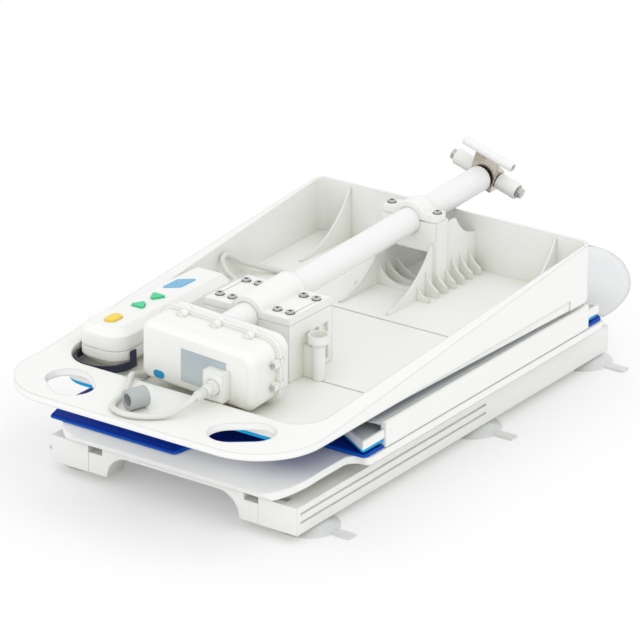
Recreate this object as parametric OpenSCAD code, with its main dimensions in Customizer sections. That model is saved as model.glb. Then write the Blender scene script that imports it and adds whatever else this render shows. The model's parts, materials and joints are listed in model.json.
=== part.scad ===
// Folding bath lift, folded flat: a scissor base on suction cups, a seat with two side flaps,
// and a backrest that lies face down on the seat and carries the spindle drive and the handset.
// Millimetres, +Z up, seat front towards -Y, origin on the floor under the middle of the lift.

/* [Base] */
// Width over the two rails
base_w = 300; // [290:1:330]
// Length of the rails
base_len = 563; // [545:1:600]
// Rear end of the rails, behind the origin
base_rear = 307; // [304:1:318]
// Height of a rail
rail_h = 29; // [28:0.5:34]
// Width of a rail
rail_w = 46; // [42:1:54]
// Height of a suction cup, which is the gap under the rails
cup_h = 9; // [7:0.5:9]
// Radius of a suction cup's lip
cup_r = 32; // [24:1:36]
// Wall of a suction cup
cup_wall = 2; // [1.5:0.25:3]
// Radius of a suction cup's stem
cup_stem_r = 5; // [3:0.5:8]
// Length of the stem inside the rail
cup_stem_len = 6; // [4:0.5:8]
// Distance of the cups from the middle plane
cup_x = 132; // [126:1:136]
// Reach of a cup's release tab past its lip
tab_reach = 21; // [10:1:25]
// Width of a release tab
tab_w = 11; // [6:1:18]
// Thickness of a release tab
tab_t = 2; // [1.5:0.25:3]
// Height of the two side grooves
groove_h = 2.4; // [1:0.2:4]
// Depth of the two side grooves
groove_d = 2.5; // [1:0.25:5]
// Length of the side grooves from the front
groove_len = 322; // [200:5:420]
// Depth of the front beam along the rails
beam_d = 28; // [20:1:40]
// Inner half width of the opening under the front arch
arch_half = 81; // [60:1:92]
// Thickness of the arch over that opening
arch_t = 10; // [6:0.5:11]
// Rise of the arch above the rails
arch_rise = 6; // [4:0.5:6.5]
// Depth of the notches beside the arch
notch_d = 7; // [4:0.5:9]
// Depth of the rear beam along the rails
rear_beam_d = 20; // [12:1:24]
// Height of the rear beam
rear_beam_h = 20; // [14:1:24]

/* [Scissor] */
// Length of an arm between its end pivots
arm_len = 440; // [425:1:444]
// Height of an arm
arm_h = 16; // [14:0.5:17]
// Thickness of an arm
arm_t = 8; // [6:0.5:9]
// Slope of the arms when folded, in degrees
arm_rest = 2; // [1.9:0.1:2.5]
// Inner face of the outer arms, from the middle plane
outer_arm_x = 88; // [87:0.5:92]
// Inner face of the inner arms, from the middle plane
inner_arm_x = 62; // [60:0.5:63]
// Distance from the origin back to the fixed pivots
pivot_y = 262; // [258:1:268]
// Height of the lower pivots above the floor
pivot_z = 24; // [23:0.5:24.5]
// Radius of the pivot pins
pin_r = 5; // [3:0.5:5]
// Radius of the gliding ends
glide_r = 6; // [5:0.5:6.5]
// Width of the gliding ends
glide_w = 8; // [6:0.5:9]
// Radius of the front axle
axle_r = 4.5; // [3:0.5:4.5]
// Radius of the tube that joins the outer arms
brace_r = 6; // [5.5:0.25:6.5]
// Wall of the channels around the gliding ends
channel_wall = 3; // [2:0.5:3.2]
// Half length of the seat's glide channel past the travel
channel_end = 9; // [8:0.5:12]
// Greatest lift angle, in degrees from folded
lift_angle = 54; // [30:1:55]

/* [Seat] */
// Width of the seat between its side edges
seat_w = 340; // [336:1:344]
// Width of the seat's front part
nose_w = 298; // [280:1:304]
// Top of the seat above the floor
seat_top = 62; // [62:0.5:64]
// Thickness of the seat moulding
seat_t = 8; // [5:0.5:8]
// Rear edge of the seat
seat_rear = 267; // [266:0.5:270]
// Where the seat widens behind its front part
shoulder_y = -165; // [-180:1:-150]
// Where the front edge starts to roll down
roll_y = -220; // [-230:1:-205]
// Radius of the rolled front edge
roll_r = 95; // [70:1:120]
// Angle of the rolled front edge, in degrees
roll_angle = 30; // [20:1:35]
// Radius of the seat's front corners
nose_r = 44; // [20:1:60]
// Radius of the seat's other corners
seat_corner_r = 6; // [4:1:12]
// Radius of the hollow between the front part and the shoulder
shoulder_r = 14; // [6:0.5:15]
// Thickness of a cover pad
cover_t = 5; // [3:0.25:5]
// Front edge of the seat cover
cover_front = -169; // [-180:1:-160]
// Left end of the cover's front tongue
tongue_left = -152; // [-155:1:-120]
// Right end of the cover's front tongue
tongue_right = 8; // [-20:1:40]
// Where the tongue's slanted side meets the cover's front edge
tongue_flare = 88; // [41:1:120]
// How many of the rolled edge's eight steps the tongue covers
tongue_steps = 6; // [4:1:8]
// How far a pad's sides draw in at the bottom
pad_draw = 0.8; // [0.4:0.1:1.2]
// How far a pad's sides draw in towards its top
pad_edge = 2; // [1:0.1:2.4]
// Inset of the cover from the seat's side edges
cover_inset = 2; // [1:0.5:6]

/* [Flaps] */
// Inner tip of a folded flap, from the middle plane
flap_tip = 22; // [15:1:40]
// Skin of a flap
flap_t = 3; // [2:0.25:4]
// Height of a flap's rim above its skin
flap_rim = 6; // [3:0.5:7]
// Height of a flap's hinge wall above the seat
flap_wall_h = 25; // [20:0.5:26]
// Width of a flap's hinge wall
flap_wall_w = 6.5; // [5:0.5:8]
// Thickness of a flap's rim
flap_rim_t = 3; // [2:0.25:4]
// Front end of the flap at its hinge
flap_front = -173; // [-178:1:-165]
// Rear end of the flap at its hinge
flap_rear = 258; // [250:1:262]
// How far the flap's front edge slants back towards its tip
flap_slant = 78; // [40:1:100]
// Front end of the hinge wall
wall_front = -136; // [-150:1:-110]
// Rear end of the hinge wall
wall_rear = 235; // [200:1:240]
// Radius of the flap hinge pins
flap_pin_r = 1.5; // [1:0.1:1.6]
// Gap between the seat cover and the folded flap's cover
fold_gap = 1; // [0.6:0.1:1.5]

/* [Backrest] */
// Width of the backrest at its hinge end
back_w = 345; // [336:1:350]
// Width of the backrest at its top end
back_top_w = 352; // [348:1:360]
// Top end of the backrest, at the front when folded
back_front = -325; // [-335:1:-318]
// Hinge end of the backrest
back_rear = 234; // [230:0.5:236]
// Underside of the backrest shell above the floor
back_z = 97; // [96.5:0.5:99]
// Thickness of the backrest's panel
panel_t = 3; // [2:0.25:3.5]
// Height of the front rim above the underside
rim_h = 18; // [14:0.5:20]
// How far the rim's skirt ends above the panel's underside
skirt_rise = 10.5; // [4:0.5:11]
// Height of the rear wall above the underside
rear_wall_h = 63; // [50:1:64]
// Thickness of the rear wall and of the side walls at the hinge end
shell_wall = 4; // [3:0.25:5]
// Distance of the cover pad from the backrest's sides
back_pad_side = 24; // [20:1:30]
// Distance of the cover pad from the backrest's top end
back_pad_front = 82; // [60:1:90]
// Width of the side rims at the top end
rim_w = 22; // [14:1:26]
// Depth of the top end's flat flange
flange_d = 86; // [76:1:95]
// Radius of the backrest's top corners
back_corner_r = 70; // [50:1:80]
// Radius of the backrest's hinge end corners
back_heel_r = 12; // [10:1:25]
// Length of a handle hole
handle_len = 66; // [50:1:72]
// Width of a handle hole
handle_w = 44; // [30:1:46]
// Distance of the handle holes from the middle plane
handle_x = 104; // [98:1:108]
// Distance of the handle holes from the top end
handle_inset = 44; // [40:1:46]
// Turn of the handle holes, in degrees
handle_turn = 38; // [20:1:45]
// Thickness of the gussets at the rear wall
gusset_t = 3; // [2:0.25:4]
// Distance of the gussets from the middle plane
gusset_x = 130; // [110:1:140]
// Reach of the gussets along the panel
gusset_reach = 92; // [60:1:110]
// Hinge axis behind the backrest
hinge_y = 258; // [257:0.5:260]
// Hinge axis above the floor
hinge_z = 88; // [86:0.5:89]
// Radius of the backrest's hinge pins
hinge_pin_r = 4; // [3:0.25:4.5]
// Radius of the hinge knuckles
knuckle_r = 9; // [8:0.5:10]
// Width of the seat's hinge lug
lug_w = 10; // [8:0.5:12]
// Width of each backrest knuckle
knuckle_w = 11; // [8:0.5:12]
// Distance of the hinge lugs from the middle plane
lug_x = 133; // [120:1:134]
// Thickness of the rear cover bridge
bridge_t = 2; // [1.2:0.1:2.5]
// Rearmost reach of the cover bridge
bridge_rear = 325; // [318:1:335]
// Half width of the cover bridge
bridge_half = 168; // [150:1:170]

/* [Drive] */
// Radius of the actuator tube
tube_r = 14; // [13.5:0.1:14.4]
// Wall of the actuator tube
tube_wall = 2; // [1.5:0.1:2.2]
// Length of the tube behind the motor housing
tube_len = 454; // [440:1:460]
// Where the tube leaves the motor housing
drive_y = -170; // [-175:1:-166]
// Height of the tube's axis there
drive_z = 158.1; // [157:0.1:160]
// Upward slope of the tube, in degrees
drive_tilt = 2.55; // [2.4:0.05:2.7]
// Turn of the motor housing about the tube, in degrees
housing_roll = 3; // [0:0.5:5]
// Width of the motor housing
housing_w = 138; // [130:1:142]
// How far the housing's middle lies to the right of the tube
housing_shift = 9; // [4:0.5:10]
// Depth of the motor housing below the tube's axis
housing_down = 48; // [44:0.5:48]
// Height of the motor housing above the tube's axis
housing_up = 16; // [16:0.5:20]
// Length of the front cover
cover_len = 38; // [34:1:40]
// Length of the rear housing
housing_len = 20; // [18:1:26]
// Wall of the motor housing
housing_wall = 3; // [2:0.25:3.5]
// Corner radius of the motor housing
housing_r = 14; // [8:1:16]
// Radius of a housing screw
housing_screw_r = 1.25; // [1:0.05:1.5]
// Radius of a housing screw's head
housing_head_r = 2.4; // [2:0.1:3]
// Left edge of the blank rating plate
plate_x = -8; // [-14:0.5:0]
// Lower edge of the rating plate
plate_z = -35; // [-38:0.5:-26]
// Width of the rating plate
plate_w = 54; // [40:1:56]
// Height of the rating plate
plate_h = 35; // [22:0.5:38]
// Place of the badge across the cover
badge_x = -35; // [-38:0.5:-30]
// Height of the badge
badge_z = -36.5; // [-37:0.5:-30]
// Radius of a boss on the housing's joint flange
boss_r = 4.5; // [3.5:0.25:5]
// Reach of the housing's joint flange
lip_out = 4; // [2:0.5:5]
// Radius of the drive spindle
spindle_r = 6; // [4:0.5:6]
// Length of the drive spindle inside the tube
spindle_len = 245; // [235:1:280]
// Radius of the worm wheel
wheel_r = 12; // [11:0.25:12.5]
// Radius of the worm
worm_r = 5; // [4:0.25:6]
// Radius of the drive motor
motor_r = 14; // [10:0.5:14.5]
// Length of the drive motor
motor_len = 29; // [20:1:30]
// Width of the foot that the motor stands on
motor_foot = 10; // [6:0.5:12]
// Radius of the piston rod
rod_r = 10; // [9:0.25:10.5]
// Radius of the piston rod's end stud
stud_r = 5; // [4:0.25:6]
// Bore of the piston rod, as a radius
rod_bore_r = 7; // [6.5:0.25:7.5]
// Length of the spindle nut
nut_len = 30; // [20:1:40]
// Where the spindle nut starts in the retracted tube
nut_start = 50; // [40:1:60]
// Travel of the piston rod
rod_travel = 150; // [100:1:150]
// Clearance of running fits, on the radius
run_fit = 0.05; // [0.02:0.01:0.1]

/* [Clamps] */
// Half width of the upper clamp
clamp_half = 52; // [50:0.5:56]
// Front face of the upper clamp
clamp_front = -133; // [-138:1:-130]
// Length of the upper clamp along the tube
clamp_len = 73; // [66:1:80]
// Radius of the cup on the clamp's side post
post_r = 11; // [9:0.5:12]
// Height of the side post
post_h = 48; // [40:1:52]
// How far the side post stands off the clamp
post_out = 17; // [14:0.5:20]
// Top of the upper clamp's wings
wing_top = 168; // [166:0.5:170]
// Thickness of the wings
wing_t = 8; // [5:0.5:9]
// Wall of the clamp arches
arch_wall = 6; // [4:0.5:7]
// Radius of a clamp screw's shank
screw_r = 2.5; // [1.5:0.25:3]
// Radius of a clamp screw's head
screw_head_r = 4.2; // [3.5:0.1:5]
// Height of a clamp screw's head
screw_head_h = 2.6; // [1.5:0.2:4]
// Length of a clamp screw's shank
screw_len = 20; // [14:1:24]
// Spacing of the upper clamp's screw rows along the tube
screw_row = 44; // [36:1:50]
// Inner screws of the upper clamp, from the middle plane
screw_in = 27.5; // [26:0.5:30]
// Outer screws of the upper clamp, from the middle plane
screw_out = 43; // [39:0.5:46]
// Middle of the lower clamp
lower_y = 161; // [156:1:166]
// Length of the lower clamp along the tube
lower_len = 22; // [16:1:26]
// Screws of the lower clamp, from the middle plane
lower_screw_x = 28.5; // [27:0.5:30]
// Top of the lower clamp's ears
ear_top = 183; // [182:0.5:185]
// Thickness of the ears
ear_t = 8; // [5:0.5:9]
// Corner radius of the ears
ear_r = 7; // [3:0.5:7.5]
// Thickness of the pedestal's webs
web_t = 3; // [2:0.25:4]
// Reach of the pedestal's front webs along the panel
web_reach = 82; // [70:1:90]
// Radius of the front webs' hollow edge
web_curve = 110; // [106:1:130]
// Height of the pedestal's rear webs
rear_web_h = 42; // [30:1:48]
// Number of fins on each side of the pedestal
fins = 7; // [4:1:8]
// Distance between the fins
fin_pitch = 16; // [14:0.5:17]
// Reach of a fin
fin_reach = 17; // [12:0.5:20]
// Height of a fin
fin_h = 30; // [24:0.5:34]

/* [T-bar] */
// Turn of the T-bar about the rod, in degrees
t_roll = 18; // [0:1:20]
// Width of the sheet bracket
bracket_w = 30; // [26:1:34]
// Thickness of the bracket's sheet
sheet_t = 2.5; // [2:0.1:3]
// Height of the bracket above the rod's axis
bracket_up = 25; // [22:0.5:28]
// Depth of the bracket below the rod's axis
bracket_down = 12; // [11:0.5:14]
// Distance from the bracket's plate back to the roller axle
axle_back = 12; // [11.5:0.5:14]
// Radius of the roller axle
t_axle_r = 4; // [3:0.25:4.5]
// Radius of a roller
roller_r = 9; // [7:0.5:10]
// Length of a roller
roller_len = 25; // [18:1:28]
// Radius of the thin cross tube
cross_r = 5; // [4:0.25:6]
// Length of the thin cross tube
cross_len = 64; // [56:1:72]
// Width over the flats of the axle nuts
nut_flat = 11; // [9:0.5:13]
// Thickness of the axle nuts
nut_t = 5; // [3:0.5:6]

/* [Handset] */
// Middle of the handset across the backrest
handset_x = -121.5; // [-122:0.5:-117]
// Front end of the handset
handset_front = -218; // [-220:1:-214]
// Length of the handset
handset_len = 195; // [188:1:198]
// Height of the handset
handset_h = 47; // [44:0.5:48]
// Height of the joint between the handset's shells
handset_split = 24; // [23.5:0.5:26]
// Radius of the handset's front corners
handset_r = 20; // [18:0.5:20.5]
// Half distance between the front corners' centres
handset_half = 9; // [7:0.5:9.5]
// Wall of the handset's shells
handset_wall = 2.5; // [2:0.1:2.8]
// Radius of the handset's rear corners
handset_tail_r = 10; // [8:0.5:14]
// Half distance between the rear corners' centres
handset_tail = 14; // [8:0.5:16]
// Bevel of the handset's edges
handset_bevel = 8; // [4:0.5:9]
// Draw-in of the handset's underside
handset_keel = 16; // [8:0.5:16]
// Height over which the underside draws in
handset_keel_h = 14; // [10:0.5:15]
// Height of the hanger's pivots above the panel
bail_z = 18; // [17.5:0.25:19]
// Height of the cable's exit above the panel
exit_h = 19; // [18.5:0.25:19.5]
// Distance from the front end to the stop button
stop_at = 28; // [24:1:32]
// Distance from the front end to the first arrow button
up_at = 70; // [64:1:74]
// Distance from the front end to the second arrow button
down_at = 98; // [94:1:110]
// Width of the handset's circuit board
board_w = 36; // [30:1:38]
// Width of the handset's battery
battery_w = 22; // [16:1:24]
// Length of the handset's battery
battery_len = 84; // [60:1:90]
// Height of the handset's battery
battery_h = 18; // [12:0.5:18.5]
// Travel of a button
button_travel = 1.5; // [0.8:0.1:1.6]
// How far a button stands out
button_proud = 2; // [1.7:0.1:3]
// Side gap around a button
button_gap = 0.3; // [0.2:0.05:0.5]
// Half length of the stop button
stop_len = 10; // [7:0.5:12]
// Half width of the stop button
stop_half = 6; // [4:0.5:7]
// Radius of the round that draws the arrow buttons
arrow_r = 2; // [1.5:0.25:3]
// Length of an arrow button between its rounds
arrow_len = 14; // [10:0.5:16]
// Thickness of the hanger's band
bail_t = 2; // [1.5:0.25:2.25]
// Height of the hanger's band
bail_h = 8; // [5:0.5:10]
// Height of the hanger's band above the panel
bail_low = 5; // [2:0.5:6]
// Radius of the hanger's pivots
bail_pin_r = 2.5; // [1.5:0.25:3]
// Reach of the hanger's band in front of its pivots
bail_reach = 34; // [32:0.5:34.5]
// Gap between the hanger and the handset's sides
bail_gap = 0.6; // [0.4:0.1:1]

/* [Cable] */
// Radius of the cable
cord_r = 3; // [2:0.25:3.5]
// Radius of the cable plug
plug_r = 8; // [6:0.5:9]
// Length of the cable plug
plug_len = 18; // [12:1:24]
// Length of a strain relief
relief_len = 16; // [10:1:20]
// Radius of the round inline connector
connector_r = 10.5; // [8:0.5:12]
// Length of the round inline connector
connector_len = 20; // [14:1:26]

/* [Hidden] */
$fn = 48;
eps = 0.01;
white = [0.93, 0.94, 0.92];
steel = [0.72, 0.73, 0.74];
blue = [0.05, 0.16, 0.55];
grey = [0.62, 0.63, 0.64];
dark = [0.2, 0.21, 0.23];

// Derived levels and lines
rail_x = base_w / 2 - rail_w;
rail_top = cup_h + rail_h;
upper_z = pivot_z + arm_len * sin(arm_rest);
front_y = pivot_y - arm_len * cos(arm_rest);
base_front = min(base_rear - base_len, front_y - glide_r - 7 - beam_d);
rail_len = base_rear - base_front;
roll_start = min(roll_y, front_y - channel_end - 3);
lifted_y = pivot_y - arm_len * cos(arm_rest + lift_angle);
centre_y = pivot_y - arm_len / 2 * cos(arm_rest);
centre_z = pivot_z + arm_len / 2 * sin(arm_rest);
glide_gap = 0.3;
seat_under = seat_top - seat_t;
pad_top = seat_top + cover_t;
flap_cover_z = pad_top + fold_gap;
flap_z = flap_cover_z + cover_t;
flap_axis_z = pad_top + fold_gap / 2;
flap_axis_x = seat_w / 2 - 9;
panel_top = back_z + panel_t;
rim_top = back_z + rim_h;
back_wall_top = back_z + rear_wall_h;
recess_front = back_front + flange_d;
split_z = wing_top - wing_t;
lower_split_z = ear_top - ear_t;
lower_front = lower_y - lower_len / 2;
bushed = run_fit;
handset_y = handset_front + handset_r;
handset_tail_y = handset_front + handset_len - handset_tail_r;
handset_z = panel_top;
handset_top = handset_z + handset_h;
bracket_at = tube_len + 3;
sides = [-1, 1];
cup_ys = [base_front + 43, base_rear - 235, base_rear - 20];

// A rounded rectangle from x0, y0 to x1, y1
module rounded(x0, y0, x1, y1, r) {
  translate([x0 + r, y0]) square([x1 - x0 - 2 * r, y1 - y0]);
  translate([x0, y0 + r]) square([x1 - x0, y1 - y0 - 2 * r]);
  for (x = [x0 + r, x1 - r], y = [y0 + r, y1 - r]) translate([x, y]) circle(r);
}

// A slot of half length a and half width b
module oval(a, b) {
  for (s = sides) translate([s * (a - b), 0]) circle(b);
  square([2 * (a - b), 2 * b], center = true);
}

// Extrude a Y-Z outline along X from x0 to x1
module across(x0, x1) {
  translate([x0, 0, 0]) rotate([90, 0, 90]) linear_extrude(x1 - x0) children();
}

// A cylinder along X from x0 to x1
module bar(x0, x1, r) {
  translate([x0, 0, 0]) rotate([0, 90, 0]) cylinder(r = r, h = x1 - x0);
}

// A cylinder along Y from y0 to y1
module rod_y(y0, y1, r) {
  translate([0, y0, 0]) rotate([-90, 0, 0]) cylinder(r = r, h = y1 - y0);
}

// Extrude an X-Z outline along Y from y0 to y1
module along(y0, y1) {
  translate([0, y1, 0]) rotate([90, 0, 0]) linear_extrude(y1 - y0) children();
}

// The tube's own frame: Y along its axis, turned about it by roll
module drive(roll = 0) {
  translate([0, drive_y, drive_z]) rotate([drive_tilt, 0, 0]) rotate([0, roll, 0]) children();
}

// Height of the tube's axis at a given y
function axis_z(y) = drive_z + (y - drive_y) * tan(drive_tilt);

// Base: rails, beams, cups and pins
module rail(side) {
  inner = side > 0 ? rail_x : -base_w / 2;
  outer = side * base_w / 2;
  slot_h = 2 * (glide_r + glide_gap);
  difference() {
    translate([inner, base_front, cup_h]) cube([rail_w, rail_len, rail_h]);
    for (k = [0.36, 0.68])
      translate([outer - groove_d, base_front + 6, cup_h + k * rail_h])
        cube([2 * groove_d, groove_len, groove_h]);
    translate([side > 0 ? rail_x - 1 : -rail_x - glide_w - 3, front_y - glide_r - 6, pivot_z - slot_h / 2])
      cube([glide_w + 4, lifted_y - front_y + 2 * glide_r + 12, slot_h]);
    translate([side > 0 ? rail_x + 14 : -rail_x - 28, base_front + 8, rail_top - 6]) cube([14, 10, 7]);
    translate([0, pivot_y, pivot_z])
      bar(side > 0 ? rail_x - 1 : -rail_x - 16, side > 0 ? rail_x + 16 : -rail_x + 1, pin_r);
    for (y = cup_ys) translate([side * cup_x, y, cup_h - eps])
      cylinder(r = cup_stem_r, h = cup_stem_len + eps);
  }
}

module rail_left() { color(white) rail(-1); }

module rail_right() { color(white) rail(1); }

module front_beam() {
  crown = rail_top + arch_rise;
  under = crown - arch_t;
  bow = under - cup_h;
  color(white) along(base_front, base_front + beam_d) difference() {
    union() {
      translate([-rail_x, cup_h]) square([2 * rail_x, rail_h]);
      translate([-arch_half, rail_top - eps]) square([2 * arch_half, arch_rise + eps]);
      for (s = sides) difference() {
        translate([s > 0 ? arch_half - eps : -arch_half - arch_rise, rail_top - eps])
          square([arch_rise + eps, arch_rise + eps]);
        translate([s * (arch_half + arch_rise), crown]) circle(arch_rise);
      }
    }
    translate([-arch_half + bow, -1]) square([2 * (arch_half - bow), under + 1]);
    for (s = sides) intersection() {
      translate([s * (arch_half - bow), cup_h]) circle(bow);
      translate([s > 0 ? arch_half - bow - eps : -arch_half, 0]) square([bow + eps, under]);
    }
    for (s = sides) translate([s > 0 ? arch_half + 6 : -rail_x - 1, rail_top - notch_d])
      square([rail_x - arch_half - 5, notch_d + 1]);
  }
}

module rear_beam() {
  color(white) difference() {
    translate([-rail_x, base_rear - rear_beam_d, cup_h]) cube([2 * rail_x, rear_beam_d, rear_beam_h]);
    translate([-rail_x + 12, base_rear - rear_beam_d + 4, cup_h - 1])
      cube([2 * rail_x - 24, rear_beam_d - 8, rear_beam_h - 4 + 1]);
  }
}

module cup() {
  rotate_extrude() polygon([[0, cup_h + cup_stem_len], [0, cup_h - cup_wall - 1],
    [cup_stem_r, cup_h - cup_wall - 1], [cup_r * 0.62, cup_wall + 1.2], [cup_r - 1.5, 0], [cup_r, 0],
    [cup_r, 1], [cup_r * 0.66, cup_wall + 3.4], [cup_stem_r + 6, cup_h], [cup_stem_r, cup_h],
    [cup_stem_r, cup_h + cup_stem_len]]);
}

module suction_cups() {
  color([0.8, 0.84, 0.84]) for (s = sides, y = cup_ys) translate([s * cup_x, y, 0]) {
    cup();
    translate([s > 0 ? cup_r - 3 : -cup_r - tab_reach, -tab_w / 2, 0.6])
      cube([tab_reach + 3, tab_w, tab_t]);
  }
}

module base_pivot_pins() {
  color(steel) for (s = sides) translate([0, pivot_y, pivot_z])
    bar(s > 0 ? outer_arm_x + 0.3 : -rail_x - 14, s > 0 ? rail_x + 14 : -outer_arm_x - 0.3, pin_r);
}

// Scissor: outer arms from the base's rear pivots up to the seat's front, inner arms the other way
module arm(x) {
  translate([x, 0, 0]) {
    bar(0, arm_t, arm_h / 2);
    translate([0, -arm_len, 0]) bar(0, arm_t, arm_h / 2);
    translate([0, -arm_len, -arm_h / 2]) cube([arm_t, arm_len, arm_h]);
  }
}

module outer_frame() { translate([0, pivot_y, pivot_z]) rotate([-arm_rest, 0, 0]) children(); }

module inner_frame() { translate([0, pivot_y, upper_z]) rotate([arm_rest, 0, 0]) children(); }

module outer_arms() {
  color(grey) outer_frame() difference() {
    union() {
      for (s = sides) arm(s > 0 ? outer_arm_x : -outer_arm_x - arm_t);
      bar(-outer_arm_x - 1, outer_arm_x + 1, brace_r);
    }
    for (s = sides) {
      bar(s > 0 ? outer_arm_x : -outer_arm_x - arm_t - 1, s > 0 ? outer_arm_x + arm_t + 1 : -outer_arm_x,
        pin_r + bushed);
      translate([0, -arm_len / 2, 0]) bar(s > 0 ? outer_arm_x - 1 : -outer_arm_x - arm_t - 1,
        s > 0 ? outer_arm_x + arm_t + 1 : -outer_arm_x + 1, pin_r);
      translate([0, -arm_len, 0])
        bar(s > 0 ? outer_arm_x - 1 : -outer_arm_x - 5, s > 0 ? outer_arm_x + 5 : -outer_arm_x + 1,
          glide_r - 2);
    }
  }
}

module upper_glides() {
  color(white) for (s = sides) translate([0, front_y, upper_z]) {
    bar(s > 0 ? outer_arm_x - glide_w : -outer_arm_x, s > 0 ? outer_arm_x : -outer_arm_x + glide_w,
      glide_r);
    bar(s > 0 ? outer_arm_x - 1 : -outer_arm_x - 5, s > 0 ? outer_arm_x + 5 : -outer_arm_x + 1, glide_r - 2);
  }
}

module centre_pins() {
  color(steel) for (s = sides) translate([0, centre_y, centre_z])
    bar(s > 0 ? inner_arm_x - 1 : -outer_arm_x - arm_t - 1,
      s > 0 ? outer_arm_x + arm_t + 1 : -inner_arm_x + 1, pin_r);
}

module inner_arms() {
  color(grey) inner_frame() difference() {
    for (s = sides) arm(s > 0 ? inner_arm_x : -inner_arm_x - arm_t);
    bar(-inner_arm_x - arm_t - 1, inner_arm_x + arm_t + 1, pin_r + bushed);
    translate([0, -arm_len / 2, 0])
      bar(-inner_arm_x - arm_t - 1, inner_arm_x + arm_t + 1, pin_r + bushed);
    translate([0, -arm_len, 0]) bar(-inner_arm_x - arm_t - 1, inner_arm_x + arm_t + 1, axle_r);
  }
}

module inner_axle() {
  reach = rail_x + glide_w + 0.6;
  color(steel) translate([0, front_y, pivot_z]) bar(-reach, reach, axle_r);
}

module lower_glides() {
  color(white) for (s = sides) translate([0, front_y, pivot_z]) difference() {
    bar(s > 0 ? rail_x + 0.6 : -rail_x - glide_w - 0.6,
      s > 0 ? rail_x + glide_w + 0.6 : -rail_x - 0.6, glide_r);
    bar(-base_w, base_w, axle_r);
  }
}

// Seat: a moulded plate whose front edge rolls down, glide channels, pivot lugs and hinge lugs
roll_steps = 8;

function roll_point(r, a) = [roll_start - r * sin(a), seat_top - roll_r + r * cos(a)];

module seat_profile(under, over, steps = roll_steps) {
  arc_out = [for (i = [0 : steps]) roll_point(roll_r + over, roll_angle * i / roll_steps)];
  arc_in = [for (i = [steps : -1 : 0]) roll_point(roll_r - under, roll_angle * i / roll_steps)];
  polygon(concat([[seat_rear, seat_top - under], [seat_rear, seat_top + over]], arc_out, arc_in));
}

module seat_outline() {
  rounded(-seat_w / 2, shoulder_y, seat_w / 2, seat_rear, seat_corner_r);
  rounded(-nose_w / 2, roll_start - roll_r * sin(roll_angle) - 1, nose_w / 2, shoulder_y + 80, nose_r);
  for (s = sides) difference() {
    translate([s > 0 ? nose_w / 2 - eps : -nose_w / 2 - shoulder_r, shoulder_y - shoulder_r])
      square([shoulder_r + eps, shoulder_r + eps]);
    translate([s * (nose_w / 2 + shoulder_r), shoulder_y - shoulder_r]) circle(shoulder_r);
  }
}

module seat_lug() {
  difference() {
    across(-lug_w / 2, lug_w / 2) difference() {
      union() {
        translate([hinge_y, hinge_z]) circle(knuckle_r);
        translate([hinge_y - knuckle_r, seat_top - 1]) square([2 * knuckle_r, hinge_z - seat_top + 1]);
      }
      translate([hinge_y, hinge_z]) circle(hinge_pin_r);
    }
  }
}

module pivot_lug(x0) {
  across(x0, x0 + 9) difference() {
    union() {
      translate([pivot_y, upper_z]) circle(arm_h / 2);
      translate([pivot_y - arm_h / 2, upper_z]) square([arm_h, seat_under - upper_z + 1]);
    }
    translate([pivot_y, upper_z]) circle(pin_r);
  }
}

module seat_plate() {
  color(white) {
    intersection() {
      across(-seat_w, seat_w) seat_profile(seat_t, 0);
      linear_extrude(seat_top + 1) seat_outline();
    }
    for (s = sides) translate([s * lug_x, 0, 0]) seat_lug();
    for (s = sides) pivot_lug(s > 0 ? inner_arm_x - 9.5 : -inner_arm_x + 0.5);
  }
}

module seat_runners() {
  r = glide_r + glide_gap;
  y0 = front_y - channel_end;
  y1 = lifted_y + channel_end;
  depth = glide_w + channel_wall;
  color(white) for (s = sides) difference() {
    translate([s > 0 ? outer_arm_x - depth - 0.5 : -outer_arm_x + 0.5, y0, upper_z - r - channel_wall])
      cube([depth, y1 - y0, seat_under - upper_z + r + channel_wall]);
    translate([s > 0 ? outer_arm_x - glide_w - 0.3 : -outer_arm_x - 1, y0 + channel_end - r - 1,
      upper_z - r])
      cube([glide_w + 1.3, y1 - y0 - 2 * channel_end + 2 * r + 2, 2 * r]);
  }
}

module seat_pivot_pins() {
  color(steel) for (s = sides) translate([0, pivot_y, upper_z])
    bar(s > 0 ? inner_arm_x - 9.5 : -inner_arm_x - arm_t - 1,
      s > 0 ? inner_arm_x + arm_t + 1 : -inner_arm_x + 9.5, pin_r);
}

// A pad drawn in at its lower edge and crowned towards its top; children(0) to (2) are its outlines
module soft_pad(z, t) {
  hull() {
    translate([0, 0, z]) linear_extrude(0.1) children(0);
    translate([0, 0, z + 0.4 * t]) linear_extrude(0.1) children(1);
    translate([0, 0, z + t - 0.1]) linear_extrude(0.1) children(2);
  }
}

module seat_cover() {
  half = seat_w / 2 - cover_inset;
  color(blue) difference() {
    union() {
      soft_pad(seat_top, cover_t) {
        rounded(-half + pad_draw, cover_front + pad_draw, half - pad_draw, seat_rear - 1 - pad_draw, 6);
        rounded(-half, cover_front, half, seat_rear - 1, 6);
        rounded(-half + pad_edge, cover_front + pad_edge, half - pad_edge, seat_rear - 1 - pad_edge, 6);
      }
      intersection() {
        across(tongue_left, tongue_flare) seat_profile(0, cover_t - 1, tongue_steps);
        linear_extrude(2 * seat_top) polygon([[tongue_left, roll_start - roll_r],
          [tongue_right, roll_start - roll_r], [tongue_right, roll_start - 27],
          [tongue_flare, cover_front - 11], [tongue_flare, cover_front + 4], [tongue_left, cover_front + 4]]);
      }
    }
    for (s = sides) translate([s * lug_x - lug_w / 2 - 0.5, hinge_y - knuckle_r - 0.5, seat_top - 1])
      cube([lug_w + 1, 4 * knuckle_r, 4 * cover_t]);
    flap_sockets();
  }
}

// The flap hinges: knuckles on the seat's edge, a pin in each end of the flap's wall
knuckle_len = 10;

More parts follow.
